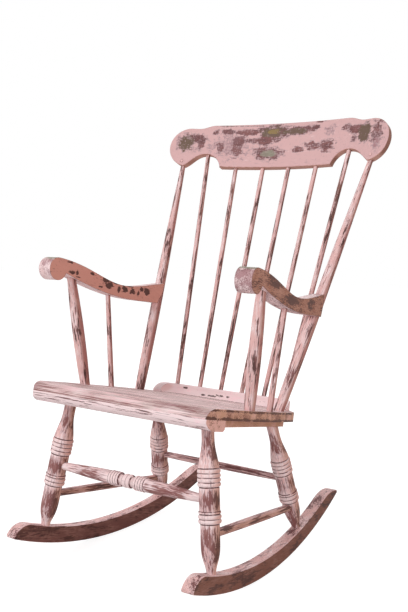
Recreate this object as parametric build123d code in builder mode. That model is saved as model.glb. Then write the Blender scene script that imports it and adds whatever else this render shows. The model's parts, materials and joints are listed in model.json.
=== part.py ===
"""Boston rocking chair: a plank seat on turned legs and two sawn rockers, with scrolled arms,
six back spindles and a lobed crest rail.

Every piece is drawn in the seat's own frame: X across the chair, Y to the back and Z square to
the seat, with the origin on the seat's top midway between the back posts.  Each piece is then
tipped by the recline and lifted, so that the finished chair stands on the floor at Z = 0 and
its rockers touch the floor on the line through the origin.  All lengths are in millimetres.
"""
import os
from math import atan2, cos, degrees, radians, sin, sqrt

from build123d import *

# ---------------------------------------------------------------- rest pose
RECLINE = 11.5                 # slope of the seat when the empty chair stands at rest

# ---------------------------------------------------------------- fits
SOCKET_GAP = 0.15              # radial room round a tenon
GLUE_ROOM = 1.0                # room past the end of a blind tenon
SEAT_GAP = 0.1                 # room between a trimmed shoulder and what it stands on
BORE_LEAD = 12.0               # how far a tilted bore starts outside its face
TENON_LAND = 6.0               # parallel part of a turning in front of its socket
STOCK = 10.0                   # waste left round a board before it is sawn to its outline

# ---------------------------------------------------------------- seat
SEAT_THICKNESS = 22.5
SEAT_FRONT_Y = -358.5
SEAT_FRONT_HALF_WIDTH = 240.0
SEAT_WIDEST_HALF_WIDTH = 251.0
SEAT_WIDEST_Y = -172.0
SEAT_CORNER_X = 226.5          # where the bowed side turns into the back
SEAT_CORNER_Y = 44.0
SEAT_CORNER_RADIUS = 14.0
SEAT_FRONT_CORNER_RADIUS = 6.0
SEAT_BACK_MARGIN = 5.0         # seat left behind the back rail
NOSE_RUN = 27.0                # front-to-back length of the rounded nose

ROLL_THICKNESS = 23.0          # lower half of the rolled front edge
ROLL_DEPTH = 62.0
ROLL_CHAMFER = 5.0

CLEAT_THICKNESS = 16.0
CLEAT_FRONT_INSET = 8.0        # outer edge inside the seat's front corner
CLEAT_BACK_INSET = 34.5        # outer edge inside the seat's back corner
CLEAT_BACK_Y = 62.0
CLEAT_WIDTH = 66.0

# ---------------------------------------------------------------- seat back rail
RAIL_CENTRE_Y = 118.0          # middle line of the rail behind the sitter
RAIL_THICKNESS = 22.0
RAIL_HEIGHT = 26.0
RAIL_CORNER_X = 120.0          # where the rail starts to turn forward
RAIL_TURN_RADIUS = 69.0        # turn of the middle line
RAIL_COVE = 7.0                # how far the front face runs out onto the seat
RAIL_TOP_ROUND = 5.0
RAIL_END_HEIGHT = 5.0
RAIL_END_RUN = 40.0            # length over which each end rises to full height

# ---------------------------------------------------------------- crest rail
CREST_Y = 203.4                # middle surface at its lower edge
CREST_Z = 642.5
CREST_LEAN = 7.8
CREST_BEND_RADIUS = 1300.0
CREST_THICKNESS = 20.0
CREST_HEIGHT = 131.0
CREST_CROWN = 3.5              # rise of the top edge from its shoulders to the middle
CREST_SHOULDER_X = (206.0, 260.0)
LOBE_CENTRE_X = 278.0
LOBE_CENTRE_UP = 57.2
LOBE_RADIUS = 58.3
NOTCH_INNER_X = 172.0          # foot of the notch's steep side
NOTCH_HEIGHT = 38.0
NOTCH_RADIUS = 50.0            # round of the steep side
NOTCH_RUNOUT = 7.0             # where the shallow side ends, outward from the lobe's lowest point
NOTCH_RUNOUT_SLOPE = 0.55
CREST_EDGE_ROUND = 2.5

# ---------------------------------------------------------------- back posts and spindles
POST_FOOT_INSET = 43.3         # foot of the back post inside the seat's widest part
POST_TOP_X = 289.0
POST_FOOT_DIAMETER = 24.0
POST_BELLY_DIAMETER = 28.2
POST_BELLY_AT = 190.0          # distance up the post
POST_WAIST_AT = 0.76           # share of the post's length where its taper begins to ease
POST_WAIST_DIAMETER = 20.4
POST_TOP_DIAMETER = 13.4
POST_SEAT_TENON = 17.0
POST_CREST_TENON = 26.0

SPINDLE_FOOT_X = (32.0, 98.0, 162.0)
SPINDLE_TOP_X = (40.0, 125.0, 219.0)
SPINDLE_FOOT_DIAMETER = 11.6
SPINDLE_BELLY_DIAMETER = 13.0
SPINDLE_TOP_DIAMETER = 11.8
SPINDLE_BELLY_AT = 0.45        # share of a turning's length at which it is fullest
SPINDLE_RAIL_TENON = 18.0
SPINDLE_CREST_TENON = 20.0

CREST_PIN_DIAMETER = 4.4
CREST_PIN_UP = 15.0            # above the lobe's lowest point

# ---------------------------------------------------------------- arms
ARM_FRONT_OUTSET = 20.0        # middle of the scroll outside the seat's widest part
ARM_FRONT_Y = -316.0
ARM_FRONT_WIDTH = 39.5
ARM_BACK_WIDTH = 31.0
SCROLL_HEIGHT = 265.3          # middle of the scroll above the seat
SCROLL_RADIUS = 27.0
ARM_DIP_AT = 222.0             # lowest point of the top edge, behind the scroll's middle
ARM_DIP_HEIGHT = 261.0
ARM_UNDER_HEIGHT = 228.5       # lowest point of the lower edge
ARM_UNDER_AT = 240.0
ARM_THROAT = (31.0, 258.0)     # sharp inner corner under the scroll
ARM_THROAT_RISE = 0.25         # slope of the lower edge at that corner
ARM_BACK_TOP = 291.0
ARM_BACK_RISE = 0.2            # slope of the top edge at the post
ARM_BACK_BOTTOM = 235.5
ARM_COPE_SETBACK = 1.5         # end of the arm in front of the post's middle line
ARM_WASTE = 30.0               # length cut off behind the post

ARM_POST_INSET = 16.0          # foot of the arm post inside the seat's widest part
ARM_POST_FOOT_Y = -185.7
ARM_POST_TOP_Y = -252.7
ARM_POST_FOOT_DIAMETER = 24.0
ARM_POST_BELLY_DIAMETER = 29.0
ARM_POST_TOP_DIAMETER = 21.5
ARM_POST_TENON = 16.0

ARM_SPINDLE_INSET = 19.7
ARM_SPINDLE_FOOT_Y = -88.5
ARM_SPINDLE_TOP_Y = -122.1
ARM_SPINDLE_FOOT_DIAMETER = 14.2
ARM_SPINDLE_TOP_DIAMETER = 12.2
ARM_SPINDLE_TENON = 14.0

ARM_SCREW_DIAMETER = 4.6
ARM_SCREW_HEAD_DIAMETER = 9.0
ARM_SCREW_HEAD_HEIGHT = 3.0
ARM_SCREW_SUNK = 1.5           # head let into the back of the post
ARM_SCREW_GRIP = 32.0          # length of shank in the arm
ARM_SCREW_HEIGHT = 262.0       # above the seat, where the arm meets the post

# ---------------------------------------------------------------- rockers
ROCKER_RADIUS = 924.0          # sole
ROCKER_DEPTH = 38.9
ROCKER_THICKNESS = 30.0
ROCKER_CENTRE_Y = -160.1       # centre of the sole's arc
ROCKER_SOLE_DROP = 382.0       # lowest point of the sole, square below the seat's top
ROCKER_CENTRE_X = 232.8        # middle plane of the rocker below the arc's centre
ROCKER_TOE_IN = 3.47           # the two rockers close toward the back
ROCKER_NOSE = 198.0            # reach of the sole in front of the arc's centre
ROCKER_TAIL = 545.0            # reach of the sole behind the arc's centre
ROCKER_NOSE_ROUND = 48.0
ROCKER_TAIL_ROUND = 98.0
ROCKER_TIP_ROUND = 5.0
ROCKER_EDGE_ROUND = 2.5

# ---------------------------------------------------------------- legs
FRONT_LEG_INSET = 40.5         # inside the cleat's front outer corner
FRONT_LEG_TOP_Y = -275.5
FRONT_LEG_FOOT_Y = -258.0
REAR_LEG_INSET = 20.0          # inside the cleat's back outer corner
REAR_LEG_TOP_Y = 41.8
REAR_LEG_FOOT_Y = 161.0
LEG_NECK_DIAMETER = 27.4
LEG_NECK_LENGTH = 44.0         # slim part below the seat
LEG_NECK_END_DIAMETER = 29.0
LEG_FLARE_LENGTH = 44.0
LEG_FLARE_SLOPE = 0.12         # slope of the flare where it meets the beads
LEG_FLARE_DIAMETER = 45.0
UPPER_BEAD_COUNT = 4
UPPER_BEAD_PITCH = 9.1
UPPER_BEAD_DIAMETER = 49.6
LEG_MIDDLE_LENGTH = 47.0
LEG_MIDDLE_DIAMETER = 43.6
LOWER_COLLAR = 5.0             # length of the collar above the lower beads
LOWER_COLLAR_DIAMETER = 47.2
LOWER_BEAD_COUNT = 2
LOWER_BEAD_PITCH = 9.2
LOWER_BEAD_DIAMETER = 49.0
BEAD_GROOVE = 2.8              # depth of the groove between two beads
END_GROOVE = 1.5               # depth of the groove that parts a row of beads from its neighbours
TURNING_STEP = 1.1             # run of each slope of that groove, and of a plain step
LEG_LOWER_DIAMETER = 40.8
LEG_TAPER_LENGTH = 62.0
LEG_ANKLE_UP = 26.0            # a point on the taper, above the foot
LEG_ANKLE_DIAMETER = 32.0
LEG_FOOT_DIAMETER = 20.6
LEG_FOOT_INSET = 4.0           # middle of the foot inside the rocker's middle plane
LEG_TOP_TENON_DIAMETER = 20.0
LEG_TOP_TENON = 28.0
LEG_FOOT_TENON_DIAMETER = 15.0
LEG_FOOT_TENON = 24.0

# ---------------------------------------------------------------- stretchers
FRONT_STRETCHER_DOWN = 154.5   # distance down the front leg
FRONT_STRETCHER_END_DIAMETER = 17.6
FRONT_STRETCHER_BELLY_DIAMETER = 30.0
FRONT_STRETCHER_END_SLOPE = 0.05
STRETCHER_RING_DIAMETER = 33.0
STRETCHER_RING_COUNT = 4
STRETCHER_RING_PITCH = 7.0
STRETCHER_RING_GROOVE = 1.7
STRETCHER_WAIST_DIAMETER = 22.6
STRETCHER_WAIST_LENGTH = 10.0
STRETCHER_BUTTON_LENGTH = 11.0 # each of the two middle beads
STRETCHER_BUTTON_DIAMETER = 31.0
REAR_STRETCHER_DOWN = 143.0
REAR_STRETCHER_END_DIAMETER = 15.4
REAR_STRETCHER_BELLY_DIAMETER = 18.0
SIDE_STRETCHER_FRONT_DOWN = 225.5
SIDE_STRETCHER_REAR_DOWN = 220.0
SIDE_STRETCHER_END_DIAMETER = 17.0
SIDE_STRETCHER_BELLY_DIAMETER = 19.4
STRETCHER_TENON = 14.0         # length of a stretcher's end inside its leg


# ================================================================ places
CLEAT_UNDERSIDE = -(SEAT_THICKNESS + CLEAT_THICKNESS)
CLEAT_FRONT_X = SEAT_FRONT_HALF_WIDTH - CLEAT_FRONT_INSET
CLEAT_BACK_X = SEAT_CORNER_X - CLEAT_BACK_INSET
ROLL_UNDERSIDE = -(SEAT_THICKNESS + ROLL_THICKNESS)
ROCKER_CENTRE_Z = ROCKER_RADIUS - ROCKER_SOLE_DROP
ROCKER_TOP_RADIUS = ROCKER_RADIUS - ROCKER_DEPTH
NOTCH_X = SPINDLE_TOP_X[-1]


def along(start, end, distance):
    """Point at a distance from start toward end."""
    return start + (end - start).normalized() * distance


def at_height(start, end, height):
    """Point on the line from start to end at a height above the seat."""
    return start + (end - start) * ((height - start.Z) / (end.Z - start.Z))


def crest_bend(x):
    """How far the crest rail's middle surface comes forward at a distance x from its middle."""
    return CREST_BEND_RADIUS - sqrt(CREST_BEND_RADIUS**2 - x**2)


def crest_point(x, up):
    """Point on the crest rail's middle surface, up its leaning face from the lower edge."""
    bend = crest_bend(x)
    lean = radians(CREST_LEAN)
    return Vector(
        x,
        CREST_Y - bend * cos(lean) + up * sin(lean),
        CREST_Z + bend * sin(lean) + up * cos(lean),
    )


def rail_y(x):
    """Middle line of the seat back rail at a distance x from the chair's middle."""
    turn = max(0.0, x - RAIL_CORNER_X)
    return RAIL_CENTRE_Y - RAIL_TURN_RADIUS + sqrt(RAIL_TURN_RADIUS**2 - turn**2)


def rocker_point(y, radius):
    """Point in the rocker's middle plane on an arc about the sole's centre."""
    toe = radians(ROCKER_TOE_IN)
    along = (y - ROCKER_CENTRE_Y) / cos(toe)
    return Vector(
        ROCKER_CENTRE_X - along * sin(toe),
        y,
        ROCKER_CENTRE_Z - sqrt(radius**2 - along**2),
    )


def rocker_plane():
    """Upright plane through the rocker, with its origin at the centre of the sole's arc."""
    toe = radians(ROCKER_TOE_IN)
    return Plane(
        origin=(ROCKER_CENTRE_X, ROCKER_CENTRE_Y, ROCKER_CENTRE_Z),
        x_dir=(-sin(toe), cos(toe), 0),
        z_dir=(cos(toe), sin(toe), 0),
    )


def arm_plane():
    """Upright plane along the arm, with its origin below the middle of the scroll."""
    run = ARM_BACK - ARM_FRONT
    run = Vector(run.X, run.Y, 0).normalized()
    return Plane(origin=(ARM_FRONT.X, ARM_FRONT.Y, 0), x_dir=run, z_dir=(run.Y, -run.X, 0))


def arm_x(y):
    """Middle of the arm at a distance y behind the seat's origin."""
    share = (y - ARM_FRONT.Y) / (ARM_BACK.Y - ARM_FRONT.Y)
    return ARM_FRONT.X + share * (ARM_BACK.X - ARM_FRONT.X)


def arm_under(y):
    """Height of the arm's lower edge, level enough between throat and back for a tenon."""
    reach = (y - ARM_FRONT.Y) / arm_plane().x_dir.Y
    share = (reach - ARM_THROAT[0]) / (ARM_UNDER_AT - ARM_THROAT[0])
    return ARM_THROAT[1] + (ARM_UNDER_HEIGHT - ARM_THROAT[1]) * (2 * share - share**2)


POST_AXIS = (
    Vector(SEAT_WIDEST_HALF_WIDTH - POST_FOOT_INSET, 0, 0),
    crest_point(POST_TOP_X, LOBE_CENTRE_UP - LOBE_RADIUS),
)
ARM_FRONT = Vector(SEAT_WIDEST_HALF_WIDTH + ARM_FRONT_OUTSET, ARM_FRONT_Y, 0)
ARM_BACK = at_height(*POST_AXIS, ARM_SCREW_HEIGHT)
FRONT_LEG_AXIS = (
    Vector(CLEAT_FRONT_X - FRONT_LEG_INSET, FRONT_LEG_TOP_Y, CLEAT_UNDERSIDE),
    rocker_point(FRONT_LEG_FOOT_Y, ROCKER_TOP_RADIUS) - Vector(LEG_FOOT_INSET, 0, 0),
)
REAR_LEG_AXIS = (
    Vector(CLEAT_BACK_X - REAR_LEG_INSET, REAR_LEG_TOP_Y, CLEAT_UNDERSIDE),
    rocker_point(REAR_LEG_FOOT_Y, ROCKER_TOP_RADIUS) - Vector(LEG_FOOT_INSET, 0, 0),
)
ARM_POST_AXIS = (
    Vector(SEAT_WIDEST_HALF_WIDTH - ARM_POST_INSET, ARM_POST_FOOT_Y, 0),
    Vector(arm_x(ARM_POST_TOP_Y), ARM_POST_TOP_Y, arm_under(ARM_POST_TOP_Y)),
)
ARM_SPINDLE_AXIS = (
    Vector(SEAT_WIDEST_HALF_WIDTH - ARM_SPINDLE_INSET, ARM_SPINDLE_FOOT_Y, 0),
    Vector(arm_x(ARM_SPINDLE_TOP_Y), ARM_SPINDLE_TOP_Y, arm_under(ARM_SPINDLE_TOP_Y)),
)


# ================================================================ shared operations
def lathe_plane(start, end):
    """Plane whose X runs along the work and whose Y is the radius."""
    run = (end - start).normalized()
    reference = Vector(0, 0, 1) if abs(run.X) > 0.7 else Vector(1, 0, 0)
    return Plane(origin=start, x_dir=run, z_dir=run.cross(reference))


def turn_profile(start, end, draw_outline):
    """Revolve the outline that draw_outline draws in (distance, radius) about the work's axis."""
    with BuildSketch(lathe_plane(start, end)) as half:
        with BuildLine():
            draw_outline()
        make_face()
    revolve(half.sketch, axis=Axis(start, end - start))


def peg(start, end, diameter):
    """Plain round peg from start to end."""
    with BuildSketch(Plane(origin=start, z_dir=end - start)) as end_face:
        Circle(diameter / 2)
    extrude(end_face.sketch, amount=(end - start).length)


def bore(mouth, inside, diameter, depth):
    """Blind round socket from mouth toward inside, with room for its tenon."""
    run = (inside - mouth).normalized()
    with BuildSketch(Plane(origin=mouth - run * BORE_LEAD, z_dir=run)) as hole:
        Circle(diameter / 2 + SOCKET_GAP)
    extrude(hole.sketch, amount=BORE_LEAD + depth + GLUE_ROOM, mode=Mode.SUBTRACT)


def mirrored(axis, side):
    """The same points on the right side (1) or the left side (-1) of the chair."""
    return [Vector(point.X * side, point.Y, point.Z) for point in axis]


def beads(first, count, pitch, diameter, groove):
    """Row of half-round beads along a turning, drawn from first onward; returns its end."""
    low = diameter / 2 - groove
    for index in range(count):
        left = first + index * pitch
        ThreePointArc((left, low), (left + pitch / 2, diameter / 2), (left + pitch, low))
    return first + count * pitch


def part_from(first, before, after):
    """Groove between two parts of a turning, of the given radii; returns its end."""
    floor = min(before, after) - END_GROOVE
    last = first + 2 * TURNING_STEP
    Polyline((first, before), (first + TURNING_STEP, floor), (last, after))
    return last


# ================================================================ seat
def angle_to_touch(radius, distance):
    """Angle at a circle's centre between a point outside it and where its tangent touches."""
    return atan2(sqrt(distance**2 - radius**2), radius)


def draw_seat_half():
    """Right half of the seat's plan, from the middle of the front to the middle of the back."""
    back = RAIL_CENTRE_Y + RAIL_THICKNESS / 2 + SEAT_BACK_MARGIN
    turn = RAIL_TURN_RADIUS + RAIL_THICKNESS / 2 + SEAT_BACK_MARGIN
    corner = Vector(RAIL_CORNER_X, RAIL_CENTRE_Y - RAIL_TURN_RADIUS)
    away = Vector(SEAT_CORNER_X, SEAT_CORNER_Y) - corner
    touch = atan2(away.Y, away.X) + angle_to_touch(turn, away.length)
    Line((0, SEAT_FRONT_Y), (SEAT_FRONT_HALF_WIDTH, SEAT_FRONT_Y))
    ThreePointArc(
        (SEAT_FRONT_HALF_WIDTH, SEAT_FRONT_Y),
        (SEAT_WIDEST_HALF_WIDTH, SEAT_WIDEST_Y),
        (SEAT_CORNER_X, SEAT_CORNER_Y),
    )
    Line((SEAT_CORNER_X, SEAT_CORNER_Y), (corner.X + turn * cos(touch), corner.Y + turn * sin(touch)))
    CenterArc((corner.X, corner.Y), turn, degrees(touch), 90 - degrees(touch))
    Line((corner.X, back), (0, back))


def saw_seat_outline(depth):
    """Keep only what lies inside the seat's plan, down to a depth below its top."""
    with BuildSketch() as plan:
        with BuildLine():
            draw_seat_half()
            mirror(about=Plane.YZ)
        make_face()
        fillet(plan.vertices().sort_by(Axis.Y)[:2], SEAT_FRONT_CORNER_RADIUS)
        sides = plan.vertices().filter_by_position(Axis.Y, SEAT_WIDEST_Y, SEAT_CORNER_Y + SEAT_GAP)
        fillet(sides, SEAT_CORNER_RADIUS)
    extrude(plan.sketch, amount=-depth, mode=Mode.INTERSECT)


def make_seat_plank():
    """Seat plank with the upper half of the rolled front and every socket in it."""
    behind = RAIL_CENTRE_Y + RAIL_THICKNESS + SEAT_BACK_MARGIN
    with BuildPart() as seat_plank:
        with BuildSketch(Plane.YZ):
            with BuildLine():
                start = (SEAT_FRONT_Y + NOSE_RUN, 0)
                front = (SEAT_FRONT_Y, -SEAT_THICKNESS)
                EllipticalCenterArc(
                    (start[0], front[1]), NOSE_RUN, SEAT_THICKNESS, start_angle=90, arc_size=90
                )
                Polyline(front, (behind, -SEAT_THICKNESS), (behind, 0), start)
            make_face()
        extrude(amount=SEAT_WIDEST_HALF_WIDTH + STOCK, both=True)
        saw_seat_outline(SEAT_THICKNESS)
        for side in (1, -1):
            for axis, diameter, depth in (
                (POST_AXIS, POST_FOOT_DIAMETER, POST_SEAT_TENON),
                (ARM_POST_AXIS, ARM_POST_FOOT_DIAMETER, ARM_POST_TENON),
                (ARM_SPINDLE_AXIS, ARM_SPINDLE_FOOT_DIAMETER, ARM_SPINDLE_TENON),
            ):
                foot, top = mirrored(axis, side)
                bore(foot, foot * 2 - top, diameter, depth)
            for axis in (FRONT_LEG_AXIS, REAR_LEG_AXIS):
                top, foot = mirrored(axis, side)
                bore(top, top * 2 - foot, LEG_TOP_TENON_DIAMETER, LEG_TOP_TENON)
    return seat_plank.part


def make_seat_roll():
    """Strip glued under the front edge that makes the nose a full round."""
    with BuildPart() as seat_roll:
        with BuildSketch(Plane.YZ):
            with BuildLine():
                middle = SEAT_FRONT_Y + NOSE_RUN
                back = SEAT_FRONT_Y + ROLL_DEPTH
                EllipticalCenterArc(
                    (middle, -SEAT_THICKNESS), NOSE_RUN, ROLL_THICKNESS,
                    start_angle=180, arc_size=90,
                )
                Polyline(
                    (middle, ROLL_UNDERSIDE),
                    (back - ROLL_CHAMFER, ROLL_UNDERSIDE),
                    (back, ROLL_UNDERSIDE + ROLL_CHAMFER),
                    (back, -SEAT_THICKNESS),
                    (SEAT_FRONT_Y, -SEAT_THICKNESS),
                )
            make_face()
        extrude(amount=SEAT_WIDEST_HALF_WIDTH + STOCK, both=True)
        saw_seat_outline(SEAT_THICKNESS + ROLL_THICKNESS)
    return seat_roll.part


def make_cleat():
    """Right-hand board under the seat that the two legs of that side are socketed in."""
    front = SEAT_FRONT_Y + ROLL_DEPTH
    with BuildPart() as cleat:
        with BuildSketch(Plane.XY.offset(CLEAT_UNDERSIDE)):
            with BuildLine():
                Polyline(
                    (CLEAT_FRONT_X, front),
                    (CLEAT_BACK_X, CLEAT_BACK_Y),
                    (CLEAT_BACK_X - CLEAT_WIDTH, CLEAT_BACK_Y),
                    (CLEAT_FRONT_X - CLEAT_WIDTH, front),
                    close=True,
                )
            make_face()
        extrude(amount=CLEAT_THICKNESS)
        for axis in (FRONT_LEG_AXIS, REAR_LEG_AXIS):
            top, foot = axis
            bore(top, top * 2 - foot, LEG_TOP_TENON_DIAMETER, LEG_TOP_TENON)
    return cleat.part


def make_seat_back_rail():
    """Coved rail round the back of the seat, with its ends run down to the seat."""
    turn_y = RAIL_CENTRE_Y - RAIL_TURN_RADIUS
    end = (RAIL_CORNER_X + RAIL_TURN_RADIUS, turn_y)
    back = RAIL_THICKNESS / 2
    with BuildPart() as seat_back_rail:
        with BuildLine() as middle_line:
            CenterArc((RAIL_CORNER_X, turn_y), RAIL_TURN_RADIUS, 0, 90)
            Line((RAIL_CORNER_X, RAIL_CENTRE_Y), (-RAIL_CORNER_X, RAIL_CENTRE_Y))
            CenterArc((-RAIL_CORNER_X, turn_y), RAIL_TURN_RADIUS, 90, 90)
        with BuildSketch(Plane(origin=(*end, 0), x_dir=(-1, 0, 0), z_dir=(0, 1, 0))):
            with BuildLine():
                crown = RAIL_HEIGHT - RAIL_TOP_ROUND
                RadiusArc((-back, crown), (-back + RAIL_TOP_ROUND, RAIL_HEIGHT), RAIL_TOP_ROUND)
                Line((-back + RAIL_TOP_ROUND, RAIL_HEIGHT), (back - RAIL_TOP_ROUND, RAIL_HEIGHT))
                RadiusArc((back - RAIL_TOP_ROUND, RAIL_HEIGHT), (back, crown), RAIL_TOP_ROUND)
                RadiusArc((back, crown), (back + RAIL_COVE, 0), -RAIL_HEIGHT)
                Line((back + RAIL_COVE, 0), (-back, 0))
                Line((-back, 0), (-back, crown))
            make_face()
        sweep(path=middle_line.wires()[0])
        with BuildSketch(Plane.YZ):
            with BuildLine():
                low = (turn_y, RAIL_END_HEIGHT)
                high = (turn_y + RAIL_END_RUN, RAIL_HEIGHT)
                over = RAIL_HEIGHT + STOCK
                TangentArc(high, low, tangent=(-1, 0))
                Polyline(low, (low[0], over), (high[0], over), high)
            make_face()
        extrude(amount=end[0] + RAIL_THICKNESS, both=True, mode=Mode.SUBTRACT)
        for foot, top in spindle_axes():
            bore(foot, foot * 2 - top, SPINDLE_FOOT_DIAMETER, SPINDLE_RAIL_TENON)
    return seat_back_rail.part


# ================================================================ back
def spindle_axes():
    """Foot and top of the six back spindles, from left to right."""
    right = []
    for foot_x, top_x in zip(SPINDLE_FOOT_X, SPINDLE_TOP_X):
        up = NOTCH_HEIGHT if top_x == NOTCH_X else 0.0
        right.append((Vector(foot_x, rail_y(foot_x), RAIL_HEIGHT), crest_point(top_x, up)))
    left = [mirrored(axis, -1) for axis in reversed(right)]
    return left + right


def draw_crest_half():
    """Right half of the crest rail's outline, from the lower edge round the lobe to the top."""
    lobe_top = LOBE_CENTRE_UP + LOBE_RADIUS
    drop = sqrt(LOBE_RADIUS**2 - NOTCH_RUNOUT**2)
    landing = (LOBE_CENTRE_X + NOTCH_RUNOUT, LOBE_CENTRE_UP - drop)
    Line((0, 0), (NOTCH_INNER_X, 0))
    RadiusArc((NOTCH_INNER_X, 0), (NOTCH_X, NOTCH_HEIGHT), NOTCH_RADIUS)
    Spline((NOTCH_X, NOTCH_HEIGHT), landing, tangents=[(1, 0), (1, -NOTCH_RUNOUT_SLOPE)])
    ThreePointArc(landing, (LOBE_CENTRE_X + LOBE_RADIUS, LOBE_CENTRE_UP), (LOBE_CENTRE_X, lobe_top))
    Line((LOBE_CENTRE_X, lobe_top), (CREST_SHOULDER_X[1], lobe_top))
    shoulder = (CREST_SHOULDER_X[0], CREST_HEIGHT - CREST_CROWN)
    rise = (-1, 2 * CREST_CROWN / CREST_SHOULDER_X[0])
    Spline((CREST_SHOULDER_X[1], lobe_top), shoulder, tangents=[(-1, 0), rise])
    Spline(shoulder, (0, CREST_HEIGHT), tangents=[rise, (-1, 0)])


def crest_planes():
    """Plan plane along the crest's lower edge and the plane of its leaning face."""
    lean = radians(CREST_LEAN)
    origin = (0, CREST_Y, CREST_Z)
    plan = Plane(origin=origin, x_dir=(1, 0, 0), z_dir=(0, sin(lean), cos(lean)))
    face = Plane(origin=origin, x_dir=(1, 0, 0), z_dir=(0, -cos(lean), sin(lean)))
    return plan, face


def crest_pin_axis():
    """Front and back end of the right-hand pin that holds the crest rail on its post."""
    foot, top = POST_AXIS
    centre = along(top, top * 2 - foot, CREST_PIN_UP)
    outward = crest_planes()[1].z_dir * (CREST_THICKNESS / 2)
    return centre + outward, centre - outward


def make_crest_rail():
    """Bent board sawn to the lobed outline, notched over the outer spindles."""
    plan_plane, face_plane = crest_planes()
    with BuildPart() as crest_rail:
        with BuildSketch(plan_plane):
            with Locations((0, -CREST_BEND_RADIUS)):
                Circle(CREST_BEND_RADIUS + CREST_THICKNESS / 2)
                Circle(CREST_BEND_RADIUS - CREST_THICKNESS / 2, mode=Mode.SUBTRACT)
        extrude(amount=CREST_HEIGHT + STOCK, both=True)
        with BuildSketch(face_plane):
            with BuildLine():
                draw_crest_half()
                mirror(about=Plane.YZ)
            make_face()
        reach = crest_bend(LOBE_CENTRE_X + LOBE_RADIUS) + CREST_THICKNESS
        extrude(amount=reach, both=True, mode=Mode.INTERSECT)
        fillet(crest_rail.faces().sort_by(SortBy.AREA)[-2:].edges(), CREST_EDGE_ROUND)
        for foot, top in spindle_axes():
            bore(top, top * 2 - foot, SPINDLE_TOP_DIAMETER, SPINDLE_CREST_TENON)
        for side in (1, -1):
            foot, top = mirrored(POST_AXIS, side)
            bore(top, top * 2 - foot, POST_TOP_DIAMETER, POST_CREST_TENON)
            front, back = mirrored(crest_pin_axis(), side)
            bore(front, back, CREST_PIN_DIAMETER, CREST_THICKNESS)
    return crest_rail.part


def make_back_post():
    """Right back post: fullest below the arm, tapered to a tenon in the crest rail's lobe."""
    foot, top = POST_AXIS
    length = (top - foot).length

    def outline():
        Polyline(
            (-POST_SEAT_TENON, 0), (-POST_SEAT_TENON, POST_FOOT_DIAMETER / 2),
            (0, POST_FOOT_DIAMETER / 2),
        )
        Spline(
            (0, POST_FOOT_DIAMETER / 2),
            (POST_BELLY_AT, POST_BELLY_DIAMETER / 2),
            (length * POST_WAIST_AT, POST_WAIST_DIAMETER / 2),
            (length - TENON_LAND, POST_TOP_DIAMETER / 2),
        )
        Polyline(
            (length - TENON_LAND, POST_TOP_DIAMETER / 2),
            (length + POST_CREST_TENON, POST_TOP_DIAMETER / 2),
            (length + POST_CREST_TENON, 0),
            (-POST_SEAT_TENON, 0),
        )

    with BuildPart() as back_post:
        turn_profile(foot, top, outline)
        front, back = crest_pin_axis()
        bore(front, back, CREST_PIN_DIAMETER, CREST_THICKNESS)
        head, tip = arm_screw_axis()
        bore(head, tip, ARM_SCREW_DIAMETER, POST_BELLY_DIAMETER)
        bore(head, tip, ARM_SCREW_HEAD_DIAMETER, ARM_SCREW_HEAD_HEIGHT - GLUE_ROOM)
    return back_post.part


def make_spindle(axis, foot_tenon, top_tenon, foot_diameter, belly_diameter, top_diameter):
    """Plain turned spindle, a little fuller in the middle than at its ends."""
    foot, top = axis
    length = (top - foot).length
    low = (TENON_LAND, foot_diameter / 2)
    high = (length - TENON_LAND, top_diameter / 2)

    def outline():
        Polyline((-foot_tenon, 0), (-foot_tenon, foot_diameter / 2), low)
        Spline(low, (length * SPINDLE_BELLY_AT, belly_diameter / 2), high)
        Polyline(high, (length + top_tenon, top_diameter / 2), (length + top_tenon, 0),
                 (-foot_tenon, 0))

    with BuildPart() as spindle:
        turn_profile(foot, top, outline)
    return spindle.part


def make_crest_pin():
    """Right-hand peg through the crest rail and the post's tenon."""
    front, back = crest_pin_axis()
    with BuildPart() as crest_pin:
        peg(front, back, CREST_PIN_DIAMETER)
    return crest_pin.part


# ================================================================ arms
def arm_screw_axis():
    """Head and tip of the right-hand screw that runs forward through the post into the arm."""
    forward = (arm_plane().x_dir * -1).normalized()
    half = POST_BELLY_DIAMETER / 2
    head = ARM_BACK - forward * (half - ARM_SCREW_SUNK)
    return head, ARM_BACK + forward * (half + ARM_SCREW_GRIP)


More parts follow.
